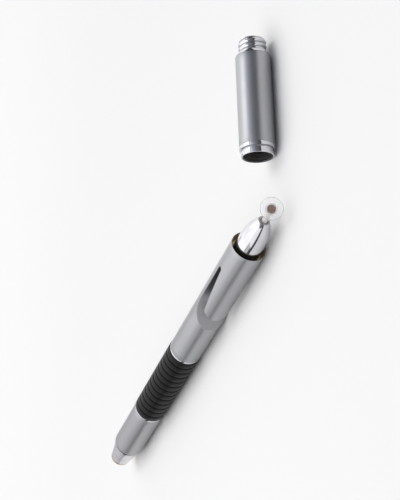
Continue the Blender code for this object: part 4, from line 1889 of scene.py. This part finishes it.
@dataclass
class Studio:
    """White table in a light tent that is open towards the camera, and the photograph's camera."""

    mouth: Vector
    camera_place: tuple[float, float, float] = (208.0 * MM, -171.75 * MM, 120.76 * MM)
    camera_turn: tuple[float, float, float] = (11.961, 67.806, -26.239)
    focal_length: float = 81.865
    clip_start: float = 10 * MM
    table_size: float = 60.0
    table_drop: float = 0.03 * MM
    table_roughness: float = 0.9
    table_near: Colour = (0.935, 0.927, 0.914)
    table_far: Colour = (0.848, 0.841, 0.829)
    table_away: Point = (-0.77, 0.64)
    table_fade: float = 0.15
    cloud_size: float = 60 * MM
    cloud_share: float = 0.04
    far_white: Colour = (0.93, 0.925, 0.915)
    far_from: float = 0.3
    far_to: float = 0.6
    room_low: Colour = (0.065, 0.065, 0.068)
    room_high: Colour = (0.205, 0.205, 0.214)
    room_rise: float = 0.5
    window: Colour = (0.44, 0.49, 0.57)
    window_ahead: Point = (0.15, 0.45)
    window_up: Point = (0.5, 0.82)
    softboxes: tuple[Softbox, ...] = (
        Softbox("tent_roof_back", Facing.ROOF, (-0.875, 0.0, 0.9), 0.55, 1.7, 1.31),
        Softbox("tent_roof_near", Facing.ROOF, (-0.135, -0.365, 0.9), 0.93, 0.97, 1.34),
        Softbox("tent_roof_far", Facing.ROOF, (-0.135, 0.485, 0.9), 0.93, 0.73, 1.12),
        Softbox("tent_key", Facing.ROOF, (0.055, 0.425, 0.88), 0.55, 0.28, 1.52),
        Softbox("tent_front", Facing.ROOF, (0.48, 0.175, 0.9), 0.3, 1.25, 0.4, (0.94, 1.0, 1.1)),
        Softbox("tent_side_near", Facing.NEAR_WALL, (-0.275, -1.1, 0.735), 1.15, 0.87, 1.06),
        Softbox("tent_corner_near", Facing.NEAR_WALL, (-1.025, -1.1, 0.805), 0.35, 0.73, 0.58),
        Softbox("tent_side_far", Facing.FAR_WALL, (-0.5, 1.1, 0.585), 1.4, 1.17, 1.06),
        Softbox("tent_back", Facing.BACK_WALL, (-1.2, 0.0, 0.6), 2.2, 0.6, 0.6),
        Softbox("tent_back_foot", Facing.BACK_WALL, (-1.2, 0.33, 0.15), 1.54, 0.3, 0.55),
    )

    def build(self) -> None:
        """Sets up table, light and camera."""
        self.table()
        self.room()
        for softbox in self.softboxes:
            softbox.hang()
        self.camera()
        bpy.context.scene.view_settings.view_transform = "Standard"

    def table(self) -> None:
        """Lays the plain white table, which stays white to the eye and in metal far from the lamps."""
        clear_bench()
        bpy.ops.mesh.primitive_plane_add(size=self.table_size, location=(0, 0, -self.table_drop))
        table = bpy.context.object
        table.name = "white_table"
        material = bpy.data.materials.new("white_table")
        material.use_nodes = True
        sheet = ShaderSheet(material.node_tree)
        place = sheet.wire(sheet.add("ShaderNodeTexCoord", {}, {}), "Object")
        x, y, _ = sheet.parts(place)
        along = self.table_away[0] * x + self.table_away[1] * y
        away = sheet.ease(along, -self.table_fade, self.table_fade)
        cloud = sheet.noise(place, self.cloud_size)
        share = (1 - self.cloud_share) * away + self.cloud_share * cloud
        sockets = {
            "Base Color": sheet.blend(share, self.table_near, self.table_far),
            "Roughness": self.table_roughness,
            "Specular IOR Level": 0.0,
        }
        lit = sheet.wire(sheet.add("ShaderNodeBsdfPrincipled", {}, sockets))
        white = {"Color": (*self.far_white, 1.0), "Strength": 1.0}
        glow = sheet.wire(sheet.add("ShaderNodeEmission", {}, white))
        path = sheet.add("ShaderNodeLightPath", {}, {})
        kinds = ("Is Camera Ray", "Is Glossy Ray", "Is Transmission Ray")
        camera, glossy, through = (sheet.wire(path, kind) for kind in kinds)
        seen = sheet.math("MINIMUM", camera + glossy + through, 1.0)
        far = sheet.ease(sheet.math("SQRT", x**2 + y**2), self.far_from, self.far_to)
        surface = sheet.add("ShaderNodeMixShader", {}, {0: seen * far, 1: lit, 2: glow})
        sheet.add("ShaderNodeOutputMaterial", {}, {"Surface": sheet.wire(surface)})
        table.data.materials.append(material)

    def room(self) -> None:
        """Sets the dim room round the tent, with a high window in front of it."""
        world = bpy.data.worlds.new("studio_room")
        world.use_nodes = True
        bpy.context.scene.world = world
        sheet = ShaderSheet(world.node_tree)
        way = sheet.wire(sheet.add("ShaderNodeTexCoord", {}, {}), "Generated")
        ahead, _, up = sheet.parts(way)
        room = sheet.blend(sheet.ease(up, 0.0, self.room_rise), self.room_low, self.room_high)
        opening = sheet.ease(ahead, *self.window_ahead) * sheet.ease(up, *self.window_up)
        colour = sheet.blend(opening, room, self.window)
        light = sheet.add("ShaderNodeBackground", {}, {"Color": colour, "Strength": 1.0})
        sheet.add("ShaderNodeOutputWorld", {}, {"Surface": sheet.wire(light)})

    def camera(self) -> None:
        """Places the camera, turned on its side as for the photograph."""
        lens = bpy.data.cameras.new("photo_camera")
        lens.lens = self.focal_length
        lens.clip_start = self.clip_start
        holder = bpy.data.objects.new("photo_camera", lens)
        bpy.context.scene.collection.objects.link(holder)
        holder.location = self.mouth + Vector(self.camera_place)
        holder.rotation_euler = Euler([math.radians(angle) for angle in self.camera_turn])
        bpy.context.scene.camera = holder


def main() -> None:
    """Builds the pen, its cap and the studio."""
    logging.basicConfig(level=logging.INFO, format="%(name)s: %(message)s")
    pen = pen_seat()
    Studio(pen.origin).build()
    UpperSection(pen).build()
    TiltingTip(pen, disc_seat()).build()
    LowerSection(pen).build()
    Cap().build()
    Refill(pen).build()
    InnerWorks(pen).build()


if __name__ == "__main__":
    main()
